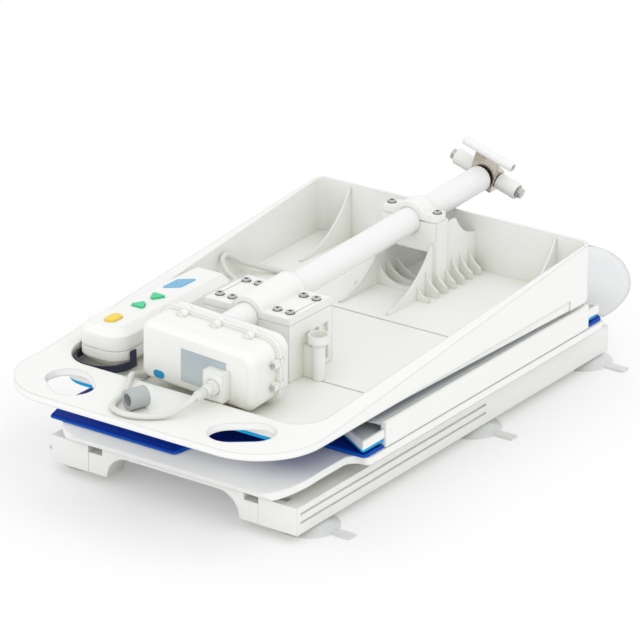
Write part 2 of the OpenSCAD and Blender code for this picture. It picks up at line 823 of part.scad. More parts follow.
module flap_sockets() {
  for (s = sides, y = [wall_front - knuckle_len - 0.3, wall_rear + 0.3])
    translate([s * flap_axis_x - 3, y - 0.3, seat_top - 1]) cube([6, knuckle_len + 0.6, 4 * cover_t]);
  for (s = sides)
    translate([s > 0 ? flap_axis_x - 4.5 : -flap_axis_x - 20, wall_front - 0.5, seat_top + 0.5])
      cube([24.5, wall_rear - wall_front + 1, 4 * cover_t]);
}

module hinge_pins() {
  reach = lug_w / 2 + knuckle_w + 0.5;
  color(steel) {
    for (s = sides) translate([s * lug_x, hinge_y, hinge_z]) bar(-reach, reach, hinge_pin_r);
    for (s = sides) translate([s * flap_axis_x, 0, flap_axis_z]) {
      rod_y(wall_front - knuckle_len, wall_front + 14, flap_pin_r);
      rod_y(wall_rear - 14, wall_rear + knuckle_len, flap_pin_r);
      for (y = [wall_front - knuckle_len, wall_rear + 0.3]) difference() {
        translate([-2.5, y, seat_top - flap_axis_z])
          cube([5, knuckle_len - 0.3, flap_axis_z - seat_top + 2.5]);
        rod_y(y - 1, y + knuckle_len + 1, flap_pin_r);
      }
    }
  }
}

module flap_outline(inset) {
  outer = seat_w / 2 - cover_inset;
  polygon([[outer - inset, flap_front + inset], [flap_tip + inset + 12, flap_front + flap_slant + inset],
    [flap_tip + inset, flap_front + flap_slant + 12 + inset], [flap_tip + inset, 150 - inset],
    [flap_tip + inset + 12, 162 - inset], [outer - 18, flap_rear - 9 - inset],
    [outer - inset, flap_rear - inset]]);
}

module flap_shape() {
  outer = seat_w / 2;
  difference() {
    union() {
      translate([0, 0, flap_z]) linear_extrude(flap_t) flap_outline(0);
      translate([0, 0, flap_z]) linear_extrude(flap_t + flap_rim) difference() {
        flap_outline(0);
        flap_outline(flap_rim_t);
      }
      for (y = [-60, 40, 140]) translate([flap_tip + 20, y, flap_z])
        cube([outer - flap_tip - 24, 2, flap_t + 6]);
      translate([outer - flap_wall_w, wall_front, seat_top + 1.2])
        cube([flap_wall_w - 0.5, wall_rear - wall_front, flap_wall_h - 1.2]);
      translate([outer - flap_wall_w / 2 - 0.25, wall_front, seat_top + flap_wall_h])
        rod_y(0, wall_rear - wall_front, flap_wall_w / 2 - 0.25);
      for (y = [wall_front, wall_rear - 15]) translate([flap_axis_x - 3.2, y, seat_top + 1.2])
        cube([outer - flap_axis_x + 2, 15, flap_z - seat_top]);
    }
    for (y = [wall_front - 1, wall_rear - 15]) translate([flap_axis_x, 0, flap_axis_z])
      rod_y(y, y + 16, flap_pin_r + bushed);
  }
}

module flap_pad() {
  difference() {
    soft_pad(flap_cover_z, cover_t) {
      flap_outline(pad_edge);
      flap_outline(0.5);
      flap_outline(pad_draw + 0.5);
    }
    translate([0, 0, seat_top]) linear_extrude(8 * cover_t) {
      translate([seat_w / 2 - flap_wall_w - 0.5, wall_front - 0.5])
        square([20, wall_rear - wall_front + 1]);
      for (y = [wall_front - 0.5, wall_rear - 15.5]) translate([flap_axis_x - 4, y]) square([30, 16]);
      for (y = [wall_front - knuckle_len - 0.6, wall_rear]) translate([flap_axis_x - 3, y])
        square([6, knuckle_len + 0.6]);
    }
  }
}

module flap_left() { color(white) mirror([1, 0, 0]) flap_shape(); }

module flap_left_cover() { color(blue) mirror([1, 0, 0]) flap_pad(); }

module flap_right() { color(white) flap_shape(); }

module flap_right_cover() { color(blue) flap_pad(); }

// Backrest: a shallow shell with a flat flange and handle holes at its top end
module back_outline(inset) {
  r = back_corner_r;
  front = back_front + inset;
  half = back_top_w / 2 - inset;
  heel = back_w / 2 - inset;
  rear = back_rear - inset;
  heel_r = back_heel_r;
  for (s = sides) translate([s * (half - r), front + r]) circle(r);
  for (s = sides) translate([s * (heel - heel_r), rear - heel_r]) circle(heel_r);
  polygon([[-half + r, front], [half - r, front], [half, front + r], [heel, rear - heel_r],
    [heel - heel_r, rear], [-heel + heel_r, rear], [-heel, rear - heel_r], [-half, front + r]]);
}

module recess_outline(inset) {
  r = 34;
  front_half = back_top_w / 2 - rim_w - inset;
  rear_half = back_w / 2 - shell_wall - inset;
  y0 = recess_front + inset;
  y1 = back_rear - shell_wall - inset;
  heel_r = back_heel_r - shell_wall;
  for (s = sides) translate([s * (front_half - r), y0 + r]) circle(r);
  for (s = sides) translate([s * (rear_half - heel_r), y1 - heel_r]) circle(heel_r);
  polygon([[-front_half + r, y0], [front_half - r, y0], [front_half, y0 + r], [rear_half, y1 - heel_r],
    [rear_half - heel_r, y1], [-rear_half + heel_r, y1], [-rear_half, y1 - heel_r], [-front_half, y0 + r]]);
}

module handle_holes(grow) {
  for (s = sides) translate([s * handle_x, back_front + handle_inset]) rotate(s * handle_turn)
    oval(handle_len / 2 + grow, handle_w / 2 + grow);
}

module back_cutter() {
  across(-back_top_w, back_top_w) polygon([[back_front - 50, rim_top], [recess_front, rim_top],
    [back_rear - shell_wall, back_wall_top], [back_rear + 50, back_wall_top],
    [back_rear + 50, back_wall_top + 90], [back_front - 50, back_wall_top + 90]]);
}

module gusset() {
  r = gusset_reach + 14;
  across(-gusset_t / 2, gusset_t / 2) difference() {
    translate([back_rear - shell_wall - gusset_reach, panel_top - 1])
      square([gusset_reach + 1, rear_wall_h - panel_t - 3]);
    translate([back_rear - shell_wall - gusset_reach - 2, back_wall_top + r - gusset_reach + 33])
      circle(r, $fn = 96);
  }
}

// Height of the front webs over the panel at a given y
function web_h(y) = let (run = max(0, y - lower_front + web_reach + 12))
  1 + web_curve - sqrt(pow(web_curve, 2) - pow(run, 2));

module pedestal_webs() {
  across(-web_t / 2, web_t / 2) difference() {
    translate([lower_front - web_reach, panel_top - 1])
      square([web_reach + 1, lower_split_z - panel_top - 6]);
    translate([lower_front - web_reach - 12, panel_top + 1 + web_curve]) circle(web_curve, $fn = 96);
  }
  across(-web_t / 2, web_t / 2) difference() {
    translate([lower_y, panel_top - 1])
      square([back_rear - shell_wall - lower_y + 1, lower_split_z - panel_top - 6]);
    translate([back_rear, panel_top + rear_web_h + 46]) circle(46, $fn = 96);
  }
}

module pedestal_fin(height, reach) {
  difference() {
    translate([0, -web_t / 2, panel_top - 1]) cube([reach, web_t, height + 1]);
    translate([height + 1, -web_t, panel_top + 4 + height]) rotate([-90, 0, 0])
      cylinder(r = height, h = 3 * web_t, $fn = 96);
  }
}

// A rib between the pedestal's legs with a hollow upper edge
module pedestal_rib(half) {
  difference() {
    translate([-half, -web_t / 2, panel_top - 1]) cube([2 * half, web_t, half * 0.85]);
    translate([0, -web_t, panel_top + 4 + half]) rotate([-90, 0, 0])
      cylinder(r = half, h = 3 * web_t, $fn = 96);
  }
}

module pedestal() {
  half = lower_screw_x + screw_head_r + 2;
  web_x = half - 5;
  first = lower_y - (fins - 1) / 2 * fin_pitch + fin_pitch / 2;
  difference() {
    union() {
      translate([-half, lower_front, panel_top - 1])
        cube([2 * half, lower_len, lower_split_z - panel_top + 1]);
      for (s = sides) translate([s * web_x, 0, 0]) pedestal_webs();
    }
    translate([-half + 7, lower_front - 1, panel_top]) cube([2 * half - 14, lower_len + 2, 42]);
    translate([0, lower_y, axis_z(lower_y)]) rotate([drive_tilt, 0, 0]) rod_y(-120, 90, tube_r + 0.1);
    for (s = sides) translate([s * lower_screw_x, lower_y, lower_split_z - screw_len])
      cylinder(r = screw_r, h = screw_len + 1);
  }
  for (s = sides, i = [0 : fins - 1]) let (y = first + i * fin_pitch)
    translate([s * web_x, y, 0]) mirror([s < 0 ? 1 : 0, 0, 0])
      pedestal_fin(y < lower_front ? min(fin_h, web_h(y) - 7) : fin_h, fin_reach);
  for (i = [1 : 3]) translate([0, first + i * fin_pitch, 0]) pedestal_rib(web_x);
}

module back_knuckles() {
  for (s = sides, k = sides) translate([s * lug_x + k * (lug_w / 2 + knuckle_w / 2 + 0.4), 0, 0])
    across(-knuckle_w / 2, knuckle_w / 2) difference() {
      union() {
        translate([hinge_y, hinge_z]) circle(knuckle_r);
        polygon([[hinge_y, hinge_z - knuckle_r], [hinge_y + knuckle_r, hinge_z], [hinge_y + 5, hinge_z + 8],
          [back_rear - 1, hinge_z + 40], [back_rear - 1, back_z]]);
      }
      translate([hinge_y, hinge_z]) circle(hinge_pin_r + bushed);
    }
}

module backrest_shell() {
  color(white) difference() {
    union() {
      difference() {
        translate([0, 0, back_z]) linear_extrude(rear_wall_h) back_outline(0);
        back_cutter();
        translate([0, 0, panel_top]) linear_extrude(rear_wall_h) recess_outline(0);
        translate([0, 0, back_z - 1]) linear_extrude(skirt_rise + 1) difference() {
          translate([-back_w, back_front - 1]) square([2 * back_w, back_rear - back_front - 40]);
          recess_outline(-shell_wall);
        }
        translate([0, 0, back_z - 1]) linear_extrude(rim_h - shell_wall + 1) difference() {
          intersection() {
            back_outline(shell_wall);
            translate([-back_w, back_front]) square([2 * back_w, flange_d - shell_wall]);
          }
          handle_holes(shell_wall);
        }
      }
      for (s = sides) translate([s * gusset_x, 0, 0]) gusset();
      pedestal();
      back_knuckles();
    }
    translate([0, 0, back_z - 1]) linear_extrude(rim_h + 2) handle_holes(0);
    translate([-55, 56, panel_top - 0.8]) cube([170, 2, 2]);
    translate([61, -110, panel_top - 0.8]) cube([63, 2, 2]);
  }
}

module back_pad_outline(inset) {
  half = back_top_w / 2 - back_pad_side - inset;
  rounded(-half, back_front + back_pad_front + inset, half, back_rear - 9 - inset, 30);
}

module backrest_cover() {
  color(blue) difference() {
    soft_pad(back_z - cover_t, cover_t) {
      back_pad_outline(pad_edge);
      back_pad_outline(0);
      back_pad_outline(pad_draw);
    }
    translate([0, 0, back_z - 2 * cover_t]) linear_extrude(3 * cover_t) handle_holes(4);
  }
}

// The cover's fold behind the hinge: from the seat's rear edge out, up and over to the rear wall
bridge_steps = 14;

function bridge_curve(t) = let (
  p0 = [seat_rear + 1.3, seat_top + 2],
  p1 = [bridge_rear + 45.2, seat_top - 4],
  p2 = [bridge_rear - 7, back_z + 31],
  p3 = [back_rear + bridge_t / 2, back_wall_top - 6], u = 1 - t)
  u * u * u * p0 + 3 * u * u * t * p1 + 3 * u * t * t * p2 + t * t * t * p3;

function bridge_normal(t) = let (
  d = bridge_curve(min(1, t + 0.01)) - bridge_curve(max(0, t - 0.01)),
  n = norm(d))
  [-d[1] / n, d[0] / n];

function bridge_side(t, k) = bridge_curve(t) + k * bridge_normal(t) * bridge_t / 2;

module cover_bridge() {
  outer = [for (i = [0 : bridge_steps]) bridge_side(i / bridge_steps, -1)];
  inner = [for (i = [bridge_steps : -1 : 0]) bridge_side(i / bridge_steps, 1)];
  color([0.9, 0.91, 0.92]) across(-bridge_half, bridge_half) polygon(concat(outer, inner));
}

// Clamps that hold the tube on the backrest
module clamp_screw_places() {
  for (s = sides, x = [screw_in, screw_out], k = sides)
    translate([s * x, clamp_front + clamp_len / 2 + k * screw_row / 2, wing_top]) children();
  for (s = sides) translate([s * lower_screw_x, lower_y, ear_top]) children();
}

module tube_hole(r) { drive() rod_y(-40, tube_len + 40, r); }

module clamp_post() { translate([clamp_half + post_out, clamp_front + 26, panel_top]) children(); }

module upper_clamp_base() {
  color(white) difference() {
    union() {
      translate([-clamp_half, clamp_front, panel_top])
        cube([2 * clamp_half, clamp_len, split_z - panel_top]);
      clamp_post() {
        cylinder(r = post_r - 4.5, h = post_h);
        translate([0, 0, post_h - 12]) cylinder(r1 = post_r - 4.5, r2 = post_r, h = 4);
        translate([0, 0, post_h - 8]) cylinder(r = post_r, h = 8);
        translate([-post_out - 1, -3, 0]) cube([post_out, 6, post_h - 14]);
      }
    }
    tube_hole(tube_r + 0.1);
    clamp_post() translate([0, 0, post_h - 8]) cylinder(r = post_r - 2.5, h = 10);
    for (s = sides) translate([s > 0 ? 22 : -clamp_half + 4, clamp_front + 6, panel_top + 3])
      cube([clamp_half - 26, clamp_len - 12, split_z - panel_top - 30]);
    for (s = sides, k = [0 : 2])
      translate([s > 0 ? clamp_half - 3 : -clamp_half - 1, clamp_front + 26 + 15 * k, panel_top + 6])
        cube([4, 9, 38]);
    clamp_screw_places() translate([0, 0, -wing_t - screw_len]) cylinder(r = screw_r, h = screw_len + 1);
  }
}

module clamp_arch(y0, y1, half, z0, z1) {
  difference() {
    union() {
      translate([-half, y0, z0]) cube([2 * half, y1 - y0, z1 - z0]);
      intersection() {
        tube_hole(tube_r + arch_wall);
        translate([-half, y0, z0]) cube([2 * half, y1 - y0, 60]);
      }
    }
    tube_hole(tube_r + 0.1);
    clamp_screw_places() translate([0, 0, -30]) cylinder(r = screw_r, h = 31);
  }
}

module upper_clamp_cap() {
  color(white) clamp_arch(clamp_front, clamp_front + clamp_len, clamp_half, split_z, wing_top);
}

module lower_clamp_cap() {
  half = lower_screw_x + screw_head_r + 2;
  color(white) intersection() {
    clamp_arch(lower_y - lower_len / 2, lower_y + lower_len / 2, half, lower_split_z, ear_top);
    translate([0, 0, lower_split_z - 1]) linear_extrude(90)
      rounded(-half, lower_y - lower_len / 2, half, lower_y + lower_len / 2, ear_r);
  }
}

module clamp_screws() {
  color(steel) clamp_screw_places() difference() {
    union() {
      cylinder(r = screw_head_r, h = screw_head_h);
      translate([0, 0, -screw_len]) cylinder(r = screw_r, h = screw_len + eps);
    }
    translate([0, 0, screw_head_h - 1.4]) cylinder(r = screw_head_r * 0.5, h = 2, $fn = 6);
  }
}

// Spindle drive
module actuator_tube() {
  color(white) drive() difference() {
    rod_y(-housing_wall - 8, tube_len, tube_r);
    rod_y(-housing_wall - 9, tube_len + 1, tube_r - tube_wall);
  }
}

module tube_end_bush() {
  color(dark) drive() difference() {
    rod_y(tube_len - 12, tube_len, tube_r - tube_wall);
    rod_y(tube_len - 13, tube_len + 1, rod_r + run_fit);
  }
}

module housing_section(inset) {
  translate([housing_shift, 0])
    rounded(-housing_w / 2 + inset, -housing_down + inset, housing_w / 2 - inset, housing_up - inset,
      housing_r - inset);
}

boss_xs = [-40, 0, 40];

module flange_tabs(y0, y1) {
  for (x = boss_xs) translate([housing_shift + x, 0, housing_up + 0.5]) rod_y(y0, y1, boss_r);
  for (s = sides, z = [-32, -8])
    translate([housing_shift + (s > 0 ? housing_w / 2 - 2 : -housing_w / 2 - 5), y0, z])
      cube([7, y1 - y0, 8]);
}

module housing_screw_places() {
  reach = housing_w / 2 + housing_head_r + 0.3;
  for (s = sides, z = [-32, -8]) translate([housing_shift + s * reach, 0, z + 4]) children();
}

module motor_housing() {
  color(white) drive(housing_roll) difference() {
    union() {
      along(-housing_len, 0) housing_section(0);
      along(-housing_len, -housing_len + 5) housing_section(-lip_out);
      flange_tabs(-housing_len, -housing_len + 7);
    }
    along(-housing_len - 1, -housing_wall - 10) housing_section(housing_wall);
    rod_y(-housing_wall - 8, 1, tube_r);
    rod_y(-housing_len - 1, 0, spindle_r + 1);
    housing_screw_places() rod_y(-housing_len - 1, -housing_len + 8, housing_screw_r);
  }
}

module motor_cover() {
  front = -housing_len - cover_len;
  color(white) drive(housing_roll) difference() {
    union() {
      along(front + 8, -housing_len) housing_section(0);
      hull() {
        along(front + 7.9, front + 8) housing_section(0);
        along(front, front + 0.1) housing_section(6);
      }
      flange_tabs(-housing_len - 9, -housing_len);
      translate([plug_x - 12, front - 12, -housing_down + 10]) cube([24, cover_len - 4, 30]);
    }
    along(front + housing_wall + 6, -housing_len + 1) housing_section(housing_wall);
    translate([plug_x, 0, -housing_down + 25]) rod_y(front - 13, front + 4, plug_r);
    housing_screw_places() rod_y(-housing_len - 10, -housing_len + 1, housing_screw_r);
  }
}

module housing_screws() {
  color(steel) drive(housing_roll) housing_screw_places() {
    rod_y(-housing_len - 9, -housing_len + 6, housing_screw_r);
    rod_y(-housing_len - 10.6, -housing_len - 9, housing_head_r);
  }
}

worm_y = -housing_len - 8;
worm_z = -wheel_r - worm_r - 0.3;

module drive_motor() {
  color(grey) drive(housing_roll) translate([0, worm_y, worm_z]) {
    bar(-wheel_r - 2 - motor_len, -wheel_r - 2, motor_r);
    bar(-wheel_r - 2, -wheel_r, 5);
    bar(-wheel_r - 2 - motor_len - 1.5, -wheel_r - 2 - motor_len, 8);
  }
  color(grey) drive(housing_roll)
    translate([-wheel_r - 3 - motor_foot, worm_y - 8, -housing_down + housing_wall])
      cube([motor_foot, 16, worm_z - motor_r + housing_down - housing_wall + 3]);
}

module drive_worm() {
  color(steel) drive(housing_roll) translate([0, worm_y, worm_z]) bar(-wheel_r, wheel_r - 2, worm_r);
}

module spindle_bearing() {
  color(steel) drive() difference() {
    rod_y(-housing_wall - 8, -housing_wall - 1, tube_r - tube_wall);
    rod_y(-housing_wall - 9, 0, spindle_r + run_fit);
  }
}

module spindle() {
  color(steel) drive() rod_y(worm_y - 7, spindle_len, spindle_r);
}

module worm_wheel() {
  color([0.85, 0.82, 0.7]) drive() difference() {
    rod_y(worm_y - 5, worm_y + 5, wheel_r);
    rod_y(worm_y - 6, worm_y + 6, spindle_r);
  }
}

module piston_rod() {
  top = tube_len + 3;
  color(steel) drive() difference() {
    union() {
      rod_y(nut_start + nut_len, top, rod_r);
      rod_y(top - 1, top + sheet_t + 5.2, stud_r);
    }
    rod_y(nut_start + nut_len - 1, spindle_len + 12, rod_bore_r);
  }
}

module spindle_nut() {
  color([0.8, 0.66, 0.35]) drive() difference() {
    rod_y(nut_start, nut_start + nut_len, tube_r - tube_wall - run_fit);
    rod_y(nut_start - 1, nut_start + nut_len + 1, spindle_r + run_fit);
  }
}

module rod_end_nut() {
  start = bracket_at + sheet_t + 0.6;
  color(steel) drive() difference() {
    rod_y(start, start + 4, stud_r + 2.5);
    rod_y(start - 1, start + 5, stud_r);
  }
}

// T-bar at the rod's end: a folded sheet bracket, a thin cross tube and two rollers on an axle
axle_at = bracket_at + axle_back;

module t_bracket() {
  half = bracket_w / 2;
  color(steel) drive(t_roll) difference() {
    union() {
      translate([-half, bracket_at + 0.3, -bracket_down])
        cube([bracket_w, sheet_t, bracket_up + bracket_down]);
      for (s = sides) across(s > 0 ? half - sheet_t : -half, s > 0 ? half : -half + sheet_t)
        polygon([[bracket_at + 0.3, -bracket_down], [axle_at + 8, -bracket_down], [axle_at + 8, 8],
          [bracket_at + 0.3, bracket_up]]);
    }
    rod_y(bracket_at - 1, bracket_at + sheet_t + 2, stud_r + run_fit);
    translate([0, axle_at, 0]) bar(-half - 1, half + 1, t_axle_r);
  }
}

module t_axle() {
  reach = bracket_w / 2 + roller_len + 1 + nut_t;
  color(steel) drive(t_roll) translate([0, axle_at, 0]) bar(-reach, reach, t_axle_r);
}

module axle_nuts() {
  start = bracket_w / 2 + roller_len + 0.8;
  color(steel) drive(t_roll) translate([0, axle_at, 0]) difference() {
    for (s = sides) translate([s > 0 ? start : -start - nut_t, 0, 0]) rotate([0, 90, 0])
      cylinder(r = nut_flat / 2 / cos(30), h = nut_t, $fn = 6);
    bar(-200, 200, t_axle_r);
  }
}

module cross_tube() {
  color(white) drive(t_roll)
    translate([0, bracket_at + 0.3 + sheet_t / 2, bracket_up + cross_r]) difference() {
      bar(-cross_len / 2, cross_len / 2, cross_r);
      bar(-cross_len / 2 - 1, cross_len / 2 + 1, cross_r - 1.5);
    }
}

module roller() {
  start = bracket_w / 2 + 0.4;
  translate([0, axle_at, 0]) difference() {
    bar(start, start + roller_len, roller_r);
    bar(start - 1, start + roller_len + 1, t_axle_r + run_fit);
    bar(start + roller_len - 1.5, start + roller_len + 1, roller_r - 2.5);
  }
}

module roller_left() { color(white) drive(t_roll) mirror([1, 0, 0]) roller(); }

module roller_right() { color(white) drive(t_roll) roller(); }

module rating_plate() {
  color([0.72, 0.76, 0.8]) drive(housing_roll)
    along(-housing_len - cover_len - 0.6, -housing_len - cover_len) difference() {
      translate([plate_x, plate_z]) square([plate_w, plate_h]);
      translate([plug_x - 12.4, -housing_down]) square([plate_w, 40.4]);
    }
}

module blue_badge() {
  color([0.1, 0.45, 0.75]) drive(housing_roll) translate([badge_x, 0, badge_z])
    along(-housing_len - cover_len - 0.6, -housing_len - cover_len) oval(6.5, 4);
}

// Handset: two shells, board, battery, three buttons and a hanger
module handset_disc(z, h, inset) {
  for (s = sides) {
    translate([handset_x + s * handset_half, handset_y, z])
      cylinder(r = handset_r - inset, h = h, $fn = 40);
    translate([handset_x + s * handset_tail, handset_tail_y, z])
      cylinder(r = max(1.5, handset_tail_r - inset), h = h, $fn = 32);
  }
}

module handset_lower() {
  z0 = handset_z;
  h = handset_split;
  w = handset_wall;
  color(white) {
    difference() {
      hull() {
        handset_disc(z0, 0.1, handset_keel);
        handset_disc(z0 + handset_keel_h, h - handset_keel_h, 0);
      }
      hull() {
        handset_disc(z0 + w, 0.1, handset_keel + 0.8);
        handset_disc(z0 + handset_keel_h + w, h, w);
      }
      translate([handset_x, handset_y, z0 + bail_z]) bar(-60, 60, bail_pin_r + bushed);
      translate([handset_x, 0, z0 + exit_h]) rod_y(handset_tail_y, handset_tail_y + 30, cord_r + 1);
    }
    for (s = sides, y = [handset_y - 2, handset_tail_y - 24]) translate([handset_x + s * 9, y, z0 + 1])
      cylinder(r = 2.5, h = handset_h - 14);
    translate([handset_x, 0, z0 + exit_h]) difference() {
      rod_y(handset_tail_y + handset_tail_r - w, handset_tail_y + handset_tail_r + relief_len, cord_r + 2);
      rod_y(handset_tail_y, handset_tail_y + 60, cord_r + 0.1);
      for (i = [0 : 3]) difference() {
        rod_y(handset_tail_y + handset_tail_r + 2.5 + 3.5 * i, handset_tail_y + handset_tail_r + 4 + 3.5 * i,
          cord_r + 4);
        rod_y(handset_tail_y, handset_tail_y + 60, cord_r + 1.2);
      }
    }
  }
}

stop_y = handset_front + stop_at;
up_y = handset_front + up_at;
down_y = handset_front + down_at;

module arrow(grow, turn) {
  hull() for (a = [0 : 2]) rotate(turn + 120 * a + 90) translate([arrow_len / 2 - 1, 0])
    circle(arrow_r + grow, $fn = 24);
}

module stop_shape(grow) { rotate(90) oval(stop_len + grow, stop_half + grow); }

module handset_upper() {
  z0 = handset_z + handset_split;
  h = handset_h - handset_split;
  w = handset_wall;
  color(white) difference() {
    hull() {
      handset_disc(z0, h - handset_bevel, 0);
      handset_disc(z0 + h - 0.1, 0.1, handset_bevel);
    }
    hull() {
      handset_disc(z0 - 1, h - handset_bevel - w + 1, w);
      handset_disc(z0 + h - w - 0.1, 0.1, handset_bevel + 0.8);
    }
    translate([handset_x, stop_y, z0]) linear_extrude(h + 1) stop_shape(button_gap);
    translate([handset_x, up_y, z0]) linear_extrude(h + 1) arrow(button_gap, 0);
    translate([handset_x, down_y, z0]) linear_extrude(h + 1) arrow(button_gap, 180);
  }
}

board_z = handset_z + handset_h - 13;

module handset_board() {
  color([0.15, 0.4, 0.25]) {
    translate([handset_x - board_w / 2, handset_y - 12, board_z])
      cube([board_w, handset_tail_y - handset_y + 4, 1.6]);
    for (y = [stop_y, up_y, down_y]) translate([handset_x, y, board_z + 1]) cylinder(r = 3, h = 2);
  }
}

module handset_battery() {
  color([0.25, 0.3, 0.4])
    translate([handset_x - battery_w / 2, handset_y + 12, handset_z + handset_wall])
      cube([battery_w, battery_len, battery_h]);
}

// A button is held under the shell's skin by its rim, and stands on a stem over the board's switch
module button_body() {
  skin = handset_top - handset_wall;
  rim_z = skin - 0.3 - 1.2;
  translate([0, 0, rim_z]) linear_extrude(handset_top + button_proud - rim_z) children(0);
  translate([0, 0, rim_z]) linear_extrude(1.2) children(1);
  stem_z = board_z + 3 + button_travel + 0.3;
  translate([0, 0, stem_z]) cylinder(r = 2.5, h = rim_z - stem_z + eps);
}

module button_stop() {
  color([0.95, 0.65, 0.05]) translate([handset_x, stop_y, 0]) button_body() {
    stop_shape(0);
    stop_shape(1.2);
  }
}

module button_up() {
  color([0.05, 0.6, 0.3]) translate([handset_x, up_y, 0]) button_body() {
    arrow(0, 0);
    arrow(1.2, 0);
  }
}

module button_down() {
  color([0.05, 0.6, 0.3]) translate([handset_x, down_y, 0]) button_body() {
    arrow(0, 180);
    arrow(1.2, 180);
  }
}

module handset_hanger() {
  inner = handset_r + handset_half + bail_gap;
  outer = inner + bail_t;
  arm = bail_reach - inner;
  color([0.08, 0.1, 0.25]) translate([handset_x, handset_y, handset_z + bail_low]) {
    translate([0, -arm, 0]) rotate([0, 0, 180]) rotate_extrude(angle = 180)
      translate([inner, 0]) square([bail_t, bail_h]);
    for (s = sides) {
      translate([s > 0 ? inner : -outer, -arm, 0]) cube([bail_t, arm, bail_h]);
      translate([s > 0 ? inner : -outer, -bail_h / 2, 0])
        cube([bail_t, bail_h, bail_z - bail_low + 2 * bail_pin_r]);
      translate([0, 0, bail_z - bail_low])
        bar(s > 0 ? inner - 3.2 : -inner, s > 0 ? inner : -inner + 3.2, bail_pin_r);
    }
  }
}

// Cable: one round cord from the plug to the handset, and the pieces on it
plug_x = housing_shift + housing_w / 2 - 39;
cord_sides = 8;
cord_steps = 2;
cord_route = [[37.74, -250, 129.5], [37.74, -260, 129.06], [37.74, -270, 128.6], [34.2, -285, 123.2],
  [26, -299, 119], [12, -311, 118.6], [-6, -317.5, 118.6], [-24, -314, 118.6], [-33, -301, 118.6],
  [-38, -284, 118.6], [-46, -266, 118.8], [-55, -250, 118.8], [-61.5, -238, 118.3], [-66.5, -226, 113],
  [-70.5, -211, 106], [-74, -188, 103.4], [-76, -140, 103.4], [-78, -80, 103.4], [-80, -20, 103.4],
  [-84, 30, 103.4], [-96, 72, 103.4], [-118, 94, 103.4], [-142, 90, 106], [-154, 72, 115], [-158, 56, 126],
  [-159, 45, 131], [-157, 37, 128], [-150, 32, 122], [-140, 26, 119.5], [-128, 20, 119], [-123, 12, 119],
  [-121.5, 2, 119], [-121.5, -10, 119], [-121.5, -26, 119]];

function spline(p, i, t) = let (
  a = p[max(0, i - 1)], b = p[i], c = p[i + 1], d = p[min(len(p) - 1, i + 2)])
  0.5 * (2 * b + (c - a) * t + (2 * a - 5 * b + 4 * c - d) * t * t + (3 * b - 3 * c + d - a) * t * t * t);

function unit(v) = v / norm(v);

module swept(p, r, steps, n) {
  count = (len(p) - 1) * steps;
  centre = [for (k = [0 : count]) let (i = min(len(p) - 2, floor(k / steps))) spline(p, i, k / steps - i)];
  rings = [for (k = [0 : count]) let (
    d = unit(centre[min(count, k + 1)] - centre[max(0, k - 1)]),
    side = unit(cross([0, 0, 1], d)), up = cross(d, side))
    for (j = [0 : n - 1]) centre[k] + r * (cos(360 * j / n) * side + sin(360 * j / n) * up)];
  walls = [for (k = [0 : count - 1], j = [0 : n - 1]) let (m = (j + 1) % n)
    each [[k * n + j, (k + 1) * n + m, k * n + m], [k * n + j, (k + 1) * n + j, (k + 1) * n + m]]];
  caps = [for (j = [1 : n - 2]) each [[0, j, j + 1], [count * n, count * n + j + 1, count * n + j]]];
  polyhedron(rings, concat(walls, caps));
  travel = [for (k = [0 : count - 1]) norm(centre[k + 1] - centre[k])];
  echo(cord_length = travel * [for (k = travel) 1]);
}

module cable() {
  color(grey) swept(cord_route, cord_r, cord_steps, cord_sides);
}

module cable_plug() {
  z = -housing_down + 25;
  front = -housing_len - cover_len;
  neck = front - plug_len;
  tail = neck - 8;
  color([0.85, 0.86, 0.86]) drive(housing_roll) translate([plug_x, 0, z]) difference() {
    union() {
      rod_y(neck, front + 3, plug_r - 0.1);
      rod_y(tail, neck + eps, plug_r - 2);
      for (i = [0 : 2]) rod_y(tail - 3.5 - 3.5 * i, tail - 1.5 - 3.5 * i, cord_r + 2.2);
      rod_y(tail - relief_len + 2, tail + eps, cord_r + 1.2);
    }
    rod_y(tail - 2 * relief_len, tail + 4, cord_r + 0.3);
  }
}

module inline_connector() {
  color([0.72, 0.73, 0.74])
    translate([-16, back_front + 22, rim_top + connector_r + 0.2]) rotate([0, 0, -20]) difference() {
      rod_y(0, connector_len, connector_r);
      rod_y(-1, connector_len - 5, connector_r - 4);
    }
}

rail_left();
rail_right();
front_beam();
rear_beam();
suction_cups();
base_pivot_pins();
outer_arms();
upper_glides();
centre_pins();
inner_arms();
inner_axle();
lower_glides();
seat_plate();
seat_runners();
seat_pivot_pins();
seat_cover();
hinge_pins();
flap_left();
flap_left_cover();
flap_right();
flap_right_cover();
backrest_shell();
backrest_cover();
cover_bridge();
upper_clamp_base();
upper_clamp_cap();
lower_clamp_cap();
clamp_screws();
actuator_tube();
tube_end_bush();
motor_cover();
motor_housing();
housing_screws();
drive_motor();
drive_worm();
spindle_bearing();
rating_plate();
blue_badge();
spindle();
worm_wheel();
piston_rod();
spindle_nut();
rod_end_nut();
t_bracket();
t_axle();
axle_nuts();
cross_tube();
roller_left();
roller_right();
handset_lower();
handset_upper();
handset_board();
handset_battery();
button_stop();
button_up();
button_down();
handset_hanger();
cable();
cable_plug();
inline_connector();
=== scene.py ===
"""Folding bath lift, folded flat: finishes, soft covers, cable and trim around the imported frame."""
import json
import logging
import math
from dataclasses import dataclass, field
from enum import Enum
from typing import Any, Callable, Optional, Sequence, Union

import bpy
import numpy as np
from mathutils import Matrix, Vector, geometry, noise


